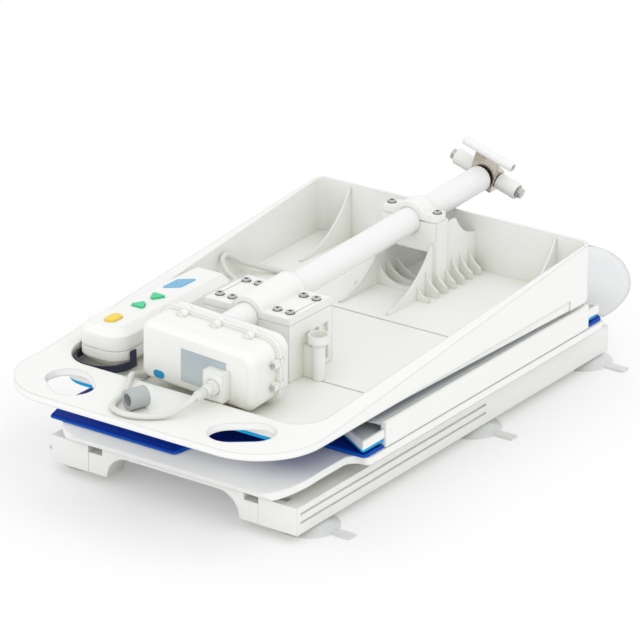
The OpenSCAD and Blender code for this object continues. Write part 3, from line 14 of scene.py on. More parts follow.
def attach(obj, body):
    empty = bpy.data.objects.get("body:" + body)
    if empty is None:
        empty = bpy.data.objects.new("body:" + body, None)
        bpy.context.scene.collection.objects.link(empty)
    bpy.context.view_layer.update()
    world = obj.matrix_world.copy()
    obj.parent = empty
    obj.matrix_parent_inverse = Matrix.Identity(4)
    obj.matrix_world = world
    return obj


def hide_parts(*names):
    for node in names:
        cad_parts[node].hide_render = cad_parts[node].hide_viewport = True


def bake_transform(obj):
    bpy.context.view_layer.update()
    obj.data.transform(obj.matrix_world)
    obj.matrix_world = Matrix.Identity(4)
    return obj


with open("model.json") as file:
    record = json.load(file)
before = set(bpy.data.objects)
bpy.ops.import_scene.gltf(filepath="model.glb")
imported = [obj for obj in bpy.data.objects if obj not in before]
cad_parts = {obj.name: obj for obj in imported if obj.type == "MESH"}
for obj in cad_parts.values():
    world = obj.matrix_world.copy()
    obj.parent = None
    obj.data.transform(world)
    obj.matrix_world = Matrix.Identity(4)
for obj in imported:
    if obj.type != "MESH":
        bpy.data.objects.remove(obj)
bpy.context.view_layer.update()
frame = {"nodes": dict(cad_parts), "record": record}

LOG = logging.getLogger("bath_lift")
MM = 0.001

Colour = tuple[float, float, float]
Point2 = tuple[float, float]
Point3 = tuple[float, float, float]
Placing = Callable[[float, float, float], Point3]

# The flaps' hinge walls run from front to rear between these, in millimetres.
WALL_FRONT = -136.0
WALL_REAR = 235.0
# Corners whose half angle is wider than this, in radians, stay straight.
STRAIGHT = 1.56


class Side(Enum):
    """The two sides of the lift, as seen from the front."""

    LEFT = -1
    RIGHT = 1


class Sock:
    """A node socket that takes part in Python expressions."""

    def __init__(self, graph: "Graph", socket: bpy.types.NodeSocket) -> None:
        """Keep the socket with the graph that owns it.

        Args:
            graph: the node tree's wrapper.
            socket: an output socket.
        """
        self.graph = graph
        self.socket = socket

    def _math(self, operation: str, a: Any, b: Any = 0.0) -> "Sock":
        """One Math node on two values."""
        return self.graph.node("ShaderNodeMath", {"operation": operation}, {0: a, 1: b})

    def __add__(self, other: Any) -> "Sock":
        """self + other."""
        return self._math("ADD", self, other)

    def __radd__(self, other: Any) -> "Sock":
        """other + self."""
        return self._math("ADD", other, self)

    def __sub__(self, other: Any) -> "Sock":
        """self - other."""
        return self._math("SUBTRACT", self, other)

    def __rsub__(self, other: Any) -> "Sock":
        """other - self."""
        return self._math("SUBTRACT", other, self)

    def __mul__(self, other: Any) -> "Sock":
        """self * other."""
        return self._math("MULTIPLY", self, other)

    def sin(self) -> "Sock":
        """The sine of the value."""
        return self._math("SINE", self)

    def power(self, exponent: float) -> "Sock":
        """The value raised to a power."""
        return self._math("POWER", self, exponent)

    def most(self, other: Any) -> "Sock":
        """The larger of two values."""
        return self._math("MAXIMUM", self, other)


class Graph:
    """A material's or a world's node tree, built by one node-making method."""

    def __init__(self, owner: Union[str, bpy.types.World]) -> None:
        """Start an empty tree.

        Args:
            owner: a new material's name, or the world.
        """
        self.owner = bpy.data.materials.new(owner) if isinstance(owner, str) else owner
        self.owner.use_nodes = True
        self.tree = self.owner.node_tree
        self.tree.nodes.clear()

    def node(self, kind: str, settings: Optional[dict] = None, inputs: Optional[dict] = None,
             out: Union[int, str] = 0) -> Sock:
        """Add one node.

        Args:
            kind: the node's type name.
            settings: attributes that are set first.
            inputs: socket names or indices to values or links.
            out: the output that is returned.

        Returns:
            The chosen output.
        """
        made = self.tree.nodes.new(kind)
        for key, value in (settings or {}).items():
            setattr(made, key, value)
        for key, value in (inputs or {}).items():
            if isinstance(value, Sock):
                self.tree.links.new(value.socket, made.inputs[key])
            elif isinstance(value, (tuple, list)) and len(value) == 3 and len(
                    getattr(made.inputs[key], "default_value", (0, 0, 0))) == 4:
                made.inputs[key].default_value = (*value, 1.0)
            else:
                made.inputs[key].default_value = value
        return Sock(self, made.outputs[out]) if len(made.outputs) else Sock(self, None)

    def place(self) -> Sock:
        """The piece's own coordinates, in metres."""
        return self.node("ShaderNodeTexCoord", out="Object")

    def clouds(self, scale: float, detail: float = 2.0, stretch: Point3 = (1.0, 1.0, 1.0)) -> Sock:
        """Noise from 0 to 1.

        Args:
            scale: waves per metre.
            detail: octaves.
            stretch: factor on each coordinate.

        Returns:
            The noise's value.
        """
        where = self.place()
        if stretch != (1.0, 1.0, 1.0):
            where = self.node("ShaderNodeMapping", inputs={"Vector": where, "Scale": stretch})
        return self.node("ShaderNodeTexNoise", inputs={"Vector": where, "Scale": scale, "Detail": detail})

    def mix(self, factor: Any, a: Any, b: Any) -> Sock:
        """A colour between a and b."""
        return self.node("ShaderNodeMix", {"data_type": "RGBA"}, {0: factor, 6: a, 7: b}, out=2)

    def bump(self, height: Sock, depth: float, over: Optional[Sock] = None) -> Sock:
        """A bumped normal.

        Args:
            height: the relief from 0 to 1.
            depth: its depth in metres.
            over: the normal that it stands on, or the surface's own.

        Returns:
            The normal.
        """
        inputs = {"Strength": 1.0, "Distance": depth, "Height": height}
        return self.node("ShaderNodeBump", inputs=inputs if over is None else {**inputs, "Normal": over})

    def finish(self, **sockets: Any) -> bpy.types.Material:
        """Close the material with one shader.

        Args:
            sockets: the shader's inputs, with underscores for spaces.

        Returns:
            The material.
        """
        named = {key.replace("_", " "): value for key, value in sockets.items()}
        return self.close(self.node("ShaderNodeBsdfPrincipled", inputs=named))

    def close(self, shader: Sock) -> bpy.types.Material:
        """Link a shader to the material's output.

        Args:
            shader: the finished shader.

        Returns:
            The material.
        """
        self.node("ShaderNodeOutputMaterial", inputs={"Surface": shader})
        return self.owner

    def seen(self) -> Sock:
        """1 for a ray that shows the backdrop: from the camera, off a gloss or through a clear piece."""
        rays = [self.node("ShaderNodeLightPath", out=f"Is {kind} Ray")
                for kind in ("Camera", "Glossy", "Transmission")]
        return rays[0].most(rays[1]).most(rays[2])


@dataclass(frozen=True)
class MouldedPlastic:
    """Moulded plastic: faint flow clouds, fine grain, and painted shade, a darker cream where it is folded in, from
    an occlusion mask.
    """

    name: str
    colour: Colour
    # Painted shade: the colour below is the darker cream that corners and hollows take, and fold is the reach in
    # metres of the occlusion that masks it.
    shade_cream: Colour
    rough: float = 0.38
    grain: float = 1600.0
    depth: float = 0.00003
    fold: float = 0.03
    edge: float = 0.0

    def build(self) -> bpy.types.Material:
        """Make the material."""
        g = Graph(self.name)
        cloud = g.clouds(14.0, 3.0)
        fine = g.clouds(self.grain, 2.0)
        # Painted shade: the occlusion mask pulls the colour toward the darker cream in corners and hollows, and the
        # cloud adds a little random tone.
        fold = g.node("ShaderNodeAmbientOcclusion", {"samples": 8}, {"Distance": self.fold}, out="AO")
        shade_cream = (1.0 - fold) * 0.8 + cloud * 0.12
        soft = g.node("ShaderNodeBevel", {"samples": 6}, {"Radius": self.edge * MM}) if self.edge else None
        return g.finish(Base_Color=g.mix(shade_cream, self.colour, self.shade_cream),
                        Roughness=self.rough + (cloud - 0.5) * 0.12,
                        Specular_IOR_Level=0.45,
                        Normal=g.bump(fine, self.depth, over=soft))


@dataclass(frozen=True)
class ColouredPlastic:
    """Glossy coloured plastic with a faint grain."""

    name: str
    colour: Colour
    shade: Colour
    rough: float = 0.3
    coat: float = 0.2

    def build(self) -> bpy.types.Material:
        """Make the material."""
        g = Graph(self.name)
        cloud = g.clouds(60.0, 3.0)
        fine = g.clouds(1800.0, 2.0)
        return g.finish(Base_Color=g.mix(cloud, self.colour, self.shade),
                        Roughness=self.rough + (fine - 0.5) * 0.1,
                        Coat_Weight=self.coat,
                        Coat_Roughness=0.2,
                        Normal=g.bump(fine, 0.00002))


@dataclass(frozen=True)
class TurnedSteel:
    """Steel with fine lines along one direction and faint stains."""

    name: str
    colour: Colour
    stain: Colour
    rough: float = 0.28
    lines: Point3 = (1.0, 1.0, 30.0)

    def build(self) -> bpy.types.Material:
        """Make the material."""
        g = Graph(self.name)
        line = g.clouds(90.0, 4.0, self.lines)
        cloud = g.clouds(55.0, 3.0)
        return g.finish(Base_Color=g.mix(cloud.power(2.0), self.colour, self.stain),
                        Metallic=1.0,
                        Roughness=self.rough + (line - 0.5) * 0.18,
                        Normal=g.bump(line, 0.00002))


@dataclass(frozen=True)
class CoatedCloth:
    """Coated cloth: a plain weave under a thin coat, with soft colour clouds."""

    name: str
    colour: Colour
    shade: Colour
    thread: float = 0.9
    rough: float = 0.55
    through: float = 0.0

    def build(self) -> bpy.types.Material:
        """Make the material."""
        g = Graph(self.name)
        split = {axis: g.node("ShaderNodeSeparateXYZ", inputs={0: g.place()}, out=axis) for axis in "XYZ"}
        turn = 2.0 * math.pi / (self.thread * MM)
        along = (split["Y"] + split["Z"]) * turn
        weave = (split["X"] * turn).sin() * along.sin() * 0.5 + 0.5
        cloud = g.clouds(22.0, 4.0)
        lint = g.clouds(700.0, 3.0)
        dyed = g.mix(cloud * 0.6 + weave * 0.25 + lint * 0.15, self.shade, self.colour)
        face = g.node("ShaderNodeBsdfPrincipled", inputs={
            "Base Color": dyed, "Roughness": self.rough + (lint - 0.5) * 0.2, "Sheen Weight": 0.02,
            "Sheen Roughness": 0.4, "Specular IOR Level": 0.14, "Normal": g.bump(weave * 0.7 + lint * 0.3, 0.00012)})
        if not self.through:
            return g.close(face)
        glow = g.node("ShaderNodeBsdfTranslucent", inputs={"Color": dyed})
        return g.close(g.node("ShaderNodeMixShader", inputs={0: self.through, 1: face, 2: glow}))


@dataclass(frozen=True)
class SoftRubber:
    """Matt rubber or soft vinyl with a faint bloom."""

    name: str
    colour: Colour
    bloom: Colour
    rough: float = 0.5
    clear: float = 0.0

    def build(self) -> bpy.types.Material:
        """Make the material."""
        g = Graph(self.name)
        cloud = g.clouds(45.0, 4.0)
        fine = g.clouds(1200.0, 2.0)
        return g.finish(Base_Color=g.mix(cloud, self.colour, self.bloom),
                        Roughness=self.rough + (cloud - 0.5) * 0.15,
                        Transmission_Weight=self.clear,
                        Normal=g.bump(fine, 0.00003))


@dataclass(frozen=True)
class PlainFoil:
    """A blank foil plate: brushed silver that shades from one corner to the other."""

    name: str
    colour: Colour
    shade: Colour
    low: float
    high: float

    def build(self) -> bpy.types.Material:
        """Make the material."""
        g = Graph(self.name)
        height = g.node("ShaderNodeSeparateXYZ", inputs={0: g.place()}, out="Z")
        rise = g.node("ShaderNodeMapRange", inputs={0: height, 1: self.low, 2: self.high})
        line = g.clouds(160.0, 4.0, (1.0, 1.0, 22.0))
        return g.finish(Base_Color=g.mix(rise * 0.8 + line * 0.2, self.colour, self.shade),
                        Metallic=0.25,
                        Roughness=0.34 + (line - 0.5) * 0.2,
                        Normal=g.bump(line, 0.00001))


class Finishes:
    """Every finish of the lift, by the record's slot names."""

    WHITE = (0.88, 0.885, 0.868)
    # The darker cream is painted shade for the moulded plastics' corners and hollows.
    SHADE_CREAM = (0.77, 0.77, 0.68)

    def __init__(self) -> None:
        """Make all the materials once."""
        white, shade_cream = self.WHITE, self.SHADE_CREAM
        self.by_slot: dict[str, bpy.types.Material] = {
            # Each moulded plastic's second colour is its painted shade in corners and hollows.
            "white_shell": MouldedPlastic("shell_plastic", white, shade_cream, edge=3.0).build(),
            "white_seat": MouldedPlastic("seat_plastic", (0.88, 0.885, 0.87), (0.85, 0.85, 0.81), edge=2.0).build(),
            "white_base": MouldedPlastic("rail_plastic", (0.86, 0.865, 0.855), (0.73, 0.73, 0.67), 0.45,
                                         edge=1.5).build(),
            "white_tube": MouldedPlastic("tube_enamel", (0.87, 0.87, 0.87), (0.76, 0.76, 0.74), 0.25,
                                         500.0, 0.00004).build(),
            "glide": MouldedPlastic("roller_plastic", (0.86, 0.86, 0.84), shade_cream, 0.4).build(),
            "cup": SoftRubber("cup_vinyl", (0.82, 0.84, 0.83), (0.88, 0.89, 0.88), 0.3, 0.2).build(),
            "arm_metal": TurnedSteel("arm_alloy", (0.70, 0.71, 0.72), (0.55, 0.56, 0.57), 0.35,
                                     (30.0, 1.0, 30.0)).build(),
            "steel": TurnedSteel("zinc_steel", (0.62, 0.62, 0.63), (0.42, 0.41, 0.40)).build(),
            "bracket_steel": TurnedSteel("bracket_sheet", (0.70, 0.66, 0.60), (0.36, 0.28, 0.20), 0.16,
                                         (6.0, 6.0, 1.0)).build(),
            "blue_cover": CoatedCloth("cover_blue", (0.001, 0.044, 0.43), (0.0, 0.016, 0.23)).build(),
            "white_fabric": CoatedCloth("cover_white", (0.95, 0.95, 0.95), (0.92, 0.93, 0.935),
                                        0.8, 0.5, 0.9).build(),
            "bush": ColouredPlastic("tube_mouth", (0.05, 0.05, 0.055), (0.09, 0.09, 0.095), 0.5, 0.0).build(),
            "motor_metal": TurnedSteel("motor_can", (0.42, 0.43, 0.45), (0.28, 0.28, 0.29), 0.4).build(),
            "worm_wheel": ColouredPlastic("wheel_nylon", (0.72, 0.66, 0.46), (0.62, 0.56, 0.38), 0.5, 0.0).build(),
            "nut_brass": TurnedSteel("nut_brass", (0.62, 0.44, 0.16), (0.38, 0.26, 0.10), 0.3).build(),
            "plate": PlainFoil("blank_foil", (0.55, 0.62, 0.63), (0.42, 0.49, 0.56), 0.125, 0.165).build(),
            "badge": ColouredPlastic("badge_blue", (0.004, 0.33, 0.62), (0.003, 0.24, 0.50), 0.4, 0.05).build(),
            "board": ColouredPlastic("board_green", (0.03, 0.16, 0.06), (0.02, 0.10, 0.04), 0.4, 0.1).build(),
            "battery": ColouredPlastic("battery_sleeve", (0.06, 0.08, 0.14), (0.04, 0.05, 0.10), 0.4, 0.1).build(),
            "stop_yellow": ColouredPlastic("stop_yellow", (0.90, 0.68, 0.03), (0.84, 0.58, 0.02)).build(),
            "arrow_green": ColouredPlastic("arrow_green", (0.0, 0.66, 0.29), (0.0, 0.54, 0.23)).build(),
            "hanger": SoftRubber("hanger_navy", (0.010, 0.013, 0.045), (0.018, 0.022, 0.065), 0.42).build(),
            "cord": SoftRubber("cable_sheath", (0.74, 0.75, 0.71), (0.68, 0.69, 0.65), 0.42).build(),
            "plug": SoftRubber("plug_vinyl", (0.78, 0.79, 0.76), (0.72, 0.73, 0.70), 0.4).build(),
            "connector": SoftRubber("connector_grey", (0.46, 0.49, 0.49), (0.40, 0.43, 0.43), 0.4).build(),
        }
        # Painted light and shade on the pads' side bands: the pale copy of the cover blue stands for the lit sides of
        # the flap and backrest pads, the deep copy for the shaded side of the seat pad.
        self.edge_painted_lit = CoatedCloth("cover_edge_blue", (0.0, 0.42, 0.85), (0.0, 0.34, 0.76), 0.7).build()
        self.edge_painted_shade = CoatedCloth("cover_edge_deep", (0.0, 0.10, 0.52), (0.0, 0.07, 0.44), 0.7).build()
        self.thread_blue = SoftRubber("stitch_thread", (0.01, 0.05, 0.30), (0.01, 0.09, 0.42), 0.6).build()
        self.label_blue = ColouredPlastic("label_blue", (0.06, 0.34, 0.62), (0.16, 0.48, 0.72), 0.28, 0.3).build()
        # Near-black painted shade for the clamp screws' countersinks and sockets.
        self.recess_dark = ColouredPlastic("recess_dark", (0.035, 0.033, 0.032), (0.07, 0.066, 0.06),
                                           0.6, 0.0).build()

    def dress(self, nodes: dict[str, bpy.types.Object], record: dict) -> None:
        """Put each CAD node's finish on it.

        Args:
            nodes: the CAD objects by name.
            record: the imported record.
        """
        for part in record["subparts"]:
            mesh = nodes[part["node"]].data
            mesh.materials.clear()
            mesh.materials.append(self.by_slot[part["material_slot"]])


class Workshop:
    """Makes pieces from points and faces, and rounds the CAD nodes' edges."""

    def __init__(self, finishes: Finishes) -> None:
        """Keep the finishes.

        Args:
            finishes: the lift's materials.
        """
        self.finishes = finishes

    def piece(self, name: str, points: Sequence[Sequence[float]], faces: Sequence[Sequence[int]], body: str,
              slot: str, materials: Optional[list] = None, indices: Optional[Sequence[int]] = None,
              smooth: bool = True) -> bpy.types.Object:
        """Make one mesh piece that rides on a body.

        Args:
            name: the piece's name.
            points: vertices in metres.
            faces: vertex indices of each face.
            body: the CAD body that it moves with, or none where it blends.
            slot: the record's material slot.
            materials: its materials, or the slot's own.
            indices: each face's material index.
            smooth: whether its faces shade smoothly.

        Returns:
            The object.
        """
        mesh = bpy.data.meshes.new(name)
        mesh.from_pydata([tuple(map(float, p)) for p in points], [], [tuple(map(int, f)) for f in faces])
        for material in materials or [self.finishes.by_slot[slot]]:
            mesh.materials.append(material)
        if indices is not None:
            mesh.polygons.foreach_set("material_index", np.array(indices, np.int32))
        mesh.polygons.foreach_set("use_smooth", np.full(len(mesh.polygons), smooth))
        mesh.update()
        made = bpy.data.objects.new(name, mesh)
        bpy.context.scene.collection.objects.link(made)
        if body:
            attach(made, body)
        LOG.info("piece %s: %d faces", name, len(mesh.polygons))
        return made

    @staticmethod
    def soften(node: str, width: float, segments: int = 2, angle: float = 35.0, weld_gap: float = 0.00001) -> None:
        """Round a CAD node's sharp edges with modifiers.

        Args:
            node: the CAD node.
            width: the rounding's width in millimetres.
            segments: steps over the rounding.
            angle: edges sharper than this are rounded, in degrees.
            weld_gap: points closer than this become one first, in metres.
        """
        made = frame["nodes"][node]
        weld = made.modifiers.new("weld", "WELD")
        weld.merge_threshold = weld_gap
        edge = made.modifiers.new("edge", "BEVEL")
        edge.width = width * MM
        edge.segments = segments
        edge.limit_method = "ANGLE"
        edge.angle_limit = math.radians(angle)
        edge.use_clamp_overlap = True
        edge.miter_outer = "MITER_ARC"
        made.modifiers.new("normals", "WEIGHTED_NORMAL").keep_sharp = False


def rounded_loop(corners: Sequence[tuple[float, float, float]], step: float = 3.0) -> list[Point2]:
    """A closed outline with rounded corners.

    Args:
        corners: x, y and corner radius of each corner, in millimetres.
        step: the longest piece of outline.

    Returns:
        The outline's points.
    """
    loop: list[Point2] = []
    count = len(corners)
    for i, (x, y, r) in enumerate(corners):
        here = Vector((x, y))
        to_last = (Vector(corners[i - 1][:2]) - here).normalized()
        to_next = (Vector(corners[(i + 1) % count][:2]) - here).normalized()
        half = to_last.angle(to_next) / 2.0
        if r <= 0.0 or half > STRAIGHT:
            loop.append((x, y))
            continue
        cut = r / math.tan(half)
        centre = here + (to_last + to_next).normalized() * (r / math.sin(half))
        start, end = here + to_last * cut - centre, here + to_next * cut - centre
        sweep = start.angle_signed(end)
        steps = max(2, int(abs(sweep) * r / step) + 2)
        for k in range(steps + 1):
            spun = start.copy()
            spun.rotate(Matrix.Rotation(-sweep * k / steps, 2))
            loop.append(tuple(centre + spun))
    filled: list[Point2] = []
    for i, p in enumerate(loop):
        q = loop[(i + 1) % len(loop)]
        gap = math.dist(p, q)
        parts = max(1, math.ceil(gap / step))
        filled += [(p[0] + (q[0] - p[0]) * k / parts, p[1] + (q[1] - p[1]) * k / parts) for k in range(parts)]
    return filled


def inside(points: np.ndarray, loop: Sequence[Point2]) -> np.ndarray:
    """Which points lie inside a closed outline.

    Args:
        points: an array of x, y rows.
        loop: the outline.

    Returns:
        An array of truth values.
    """
    ring = np.array(loop)
    after = np.roll(ring, -1, axis=0)
    hit = np.zeros(len(points), bool)
    for (x0, y0), (x1, y1) in zip(ring, after):
        if y0 == y1:
            continue
        crosses = (points[:, 1] > y0) != (points[:, 1] > y1)
        hit ^= crosses & (points[:, 0] < x0 + (points[:, 1] - y0) * (x1 - x0) / (y1 - y0))
    return hit


def edge_distance(points: np.ndarray, loop: Sequence[Point2]) -> np.ndarray:
    """Distance of points from a closed outline.

    Args:
        points: an array of x, y rows.
        loop: the outline.

    Returns:
        The distances in millimetres.
    """
    best = np.full(len(points), np.inf)
    ring = np.array(loop)
    for a, b in zip(ring, np.roll(ring, -1, axis=0)):
        d = b - a
        size = float(d @ d)
        if size == 0.0:
            continue
        t = np.clip(((points - a) @ d) / size, 0.0, 1.0)
        best = np.minimum(best, np.linalg.norm(points - a - t[:, None] * d, axis=1))
    return best


@dataclass
class PadPattern:
    """A thin foam pad cut to an outline: flat below, crowned above, drawn in at its sides. In millimetres."""

    name: str
    node: str
    body: str
    outline: list[Point2]
    lift: Placing
    thick: float = 4.8
    round_over: float = 2.4
    grid: float = 9.0
    rings: tuple[float, ...] = (0.35, 1.2, 2.6, 5.0)
    spare: float = 0.3
    ripple: float = 0.35
    ripple_from: float = 12.0
    rim_share: float = 0.42
    under: float = 0.12
    under_share: float = 0.8
    drawn_in: float = 1.2
    band: float = 1.0
    border: float = 0.05

    def _flat(self) -> tuple[np.ndarray, list[tuple[int, ...]]]:
        """The pattern's points and triangles, in the flat."""
        lo, hi = np.min(self.outline, axis=0), np.max(self.outline, axis=0)
        xs, ys = np.meshgrid(np.arange(lo[0], hi[0], self.grid), np.arange(lo[1], hi[1], self.grid))
        grid = np.vstack([np.column_stack([xs.ravel(), ys.ravel()]),
                          *(self._inset(self.outline, ring) for ring in self.rings)])
        grid = grid[inside(grid, self.outline)]
        grid = grid[edge_distance(grid, self.outline) > self.spare]
        points = [Vector(p) for p in [*self.outline, *grid]]
        count = len(self.outline)
        edges = [(k, (k + 1) % count) for k in range(count)]
        found, _, triangles, *_ = geometry.delaunay_2d_cdt(points, edges, [], 1, 1e-5)
        flat = np.array([tuple(p) for p in found])
        middle = np.array([flat[list(t)].mean(axis=0) for t in triangles])
        return flat, [tuple(t) for t, k in zip(triangles, inside(middle, self.outline)) if k]

    @staticmethod
    def _inset(loop: Sequence[Point2], by: float) -> np.ndarray:
        """An outline's points moved to its inner side by some millimetres."""
        ring = np.array(loop)
        tangent = np.roll(ring, -1, axis=0) - np.roll(ring, 1, axis=0)
        tangent /= np.linalg.norm(tangent, axis=1)[:, None] + 1e-9
        area = np.sum(ring[:, 0] * np.roll(ring[:, 1], -1) - np.roll(ring[:, 0], -1) * ring[:, 1])
        normal = np.column_stack([-tangent[:, 1], tangent[:, 0]]) * math.copysign(1.0, area)
        return ring + normal * by

    def build(self, shop: Workshop, edge: bpy.types.Material) -> bpy.types.Object:
        """Make the pad.

        Args:
            shop: the piece maker.
            edge: the finish of the pad's side band, a copy of the cover blue recoloured to paint the band's light and
                shade.

        Returns:
            The pad.
        """
        flat, triangles = self._flat()
        used = sorted({i for t in triangles for i in t})
        number = {old: new for new, old in enumerate(used)}
        flat = flat[used]
        triangles = [tuple(number[i] for i in t) for t in triangles]
        far = edge_distance(flat, self.outline)
        slope = np.clip(far / self.round_over, 0.0, 1.0)
        over = np.sqrt(np.clip(1.0 - (1.0 - slope) ** 2, 0.0, 1.0))
        rim = self.rim_share * self.thick
        points: list[Point3] = []
        for (x, y), lid, d in zip(flat, over, far):
            wave = noise.noise(Vector((x, y, 3.0)) * 0.03) * min(1.0, d / self.ripple_from)
            top = rim + (self.thick - self.ripple - rim) * lid + self.ripple * wave * lid
            points.append(self.lift(x, y, top))
        twin: dict[int, int] = {}
        for i, ((x, y), d) in enumerate(zip(flat, far)):
            if d < self.border:
                twin[i] = i
                continue
            twin[i] = len(points)
            drawn = (1.0 - min(1.0, d / self.drawn_in)) ** 2
            points.append(self.lift(x, y, self.under + rim * self.under_share * drawn))
        a, b, c = (Vector(points[i]) for i in triangles[0])
        base = flat[triangles[0][0]]
        up = Vector(self.lift(*base, 1.0)) - Vector(self.lift(*base, 0.0))
        flip = (b - a).cross(c - a).dot(up) < 0.0
        faces, bands = [], []
        for t in triangles:
            band = int(min(far[list(t)]) < self.band)
            faces.append(t[::-1] if flip else t)
            bands.append(band)
            low = tuple(twin[i] for i in t)
            if low != t:
                faces.append(low if flip else low[::-1])
                bands.append(band)
        # The second material is the side band's finish, with its light and shade painted in.
        made = shop.piece(self.name, points, faces, self.body, "blue_cover",
                          [shop.finishes.by_slot["blue_cover"], edge], bands)
        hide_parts(self.node)
        LOG.info("pad %s: %d points", self.name, len(flat))
        return made


def stitches(shop: Workshop, name: str, loop: Sequence[Point3], up: Sequence[Vector], body: str,
             pitch: float = 3.8, length: float = 2.6, half_wide: float = 0.35,
             half_high: float = 0.3) -> bpy.types.Object:
    """A row of sewn stitches along a path.

    Args:
        shop: the piece maker.
        name: the row's name.
        loop: the path in metres.
        up: the cloth's outward direction at each point.
        body: the body that the cloth rides on.
        pitch: the distance between stitches in millimetres.
        length: one stitch's length in millimetres.
        half_wide: half its width in millimetres.
        half_high: half its height in millimetres.

    Returns:
        The row as one piece.
    """
    points: list[Vector] = []
    faces: list[tuple[int, ...]] = []
    carry = 0.0
    for p, q, n in zip(loop[:-1], loop[1:], up):
        a, b = Vector(p), Vector(q)
        run = (b - a).length
        along = (b - a).normalized()
        side = along.cross(n).normalized()
        at = carry
        while at < run:
            middle = a + along * at
            ends = along * (length * MM / 2.0)
            wide, high = side * (half_wide * MM), n * (half_high * MM)
            first = len(points)
            points += [middle - ends, middle + ends, middle - wide, middle + wide, middle + high, middle - high]
            faces += [tuple(first + k for k in f) for f in
                      ((0, 2, 4), (2, 1, 4), (1, 3, 4), (3, 0, 4), (2, 0, 5), (1, 2, 5), (3, 1, 5), (0, 3, 5))]
            at += pitch * MM
        carry = at - run
    return shop.piece(name, points, faces, body, "blue_cover", [shop.finishes.thread_blue], smooth=False)


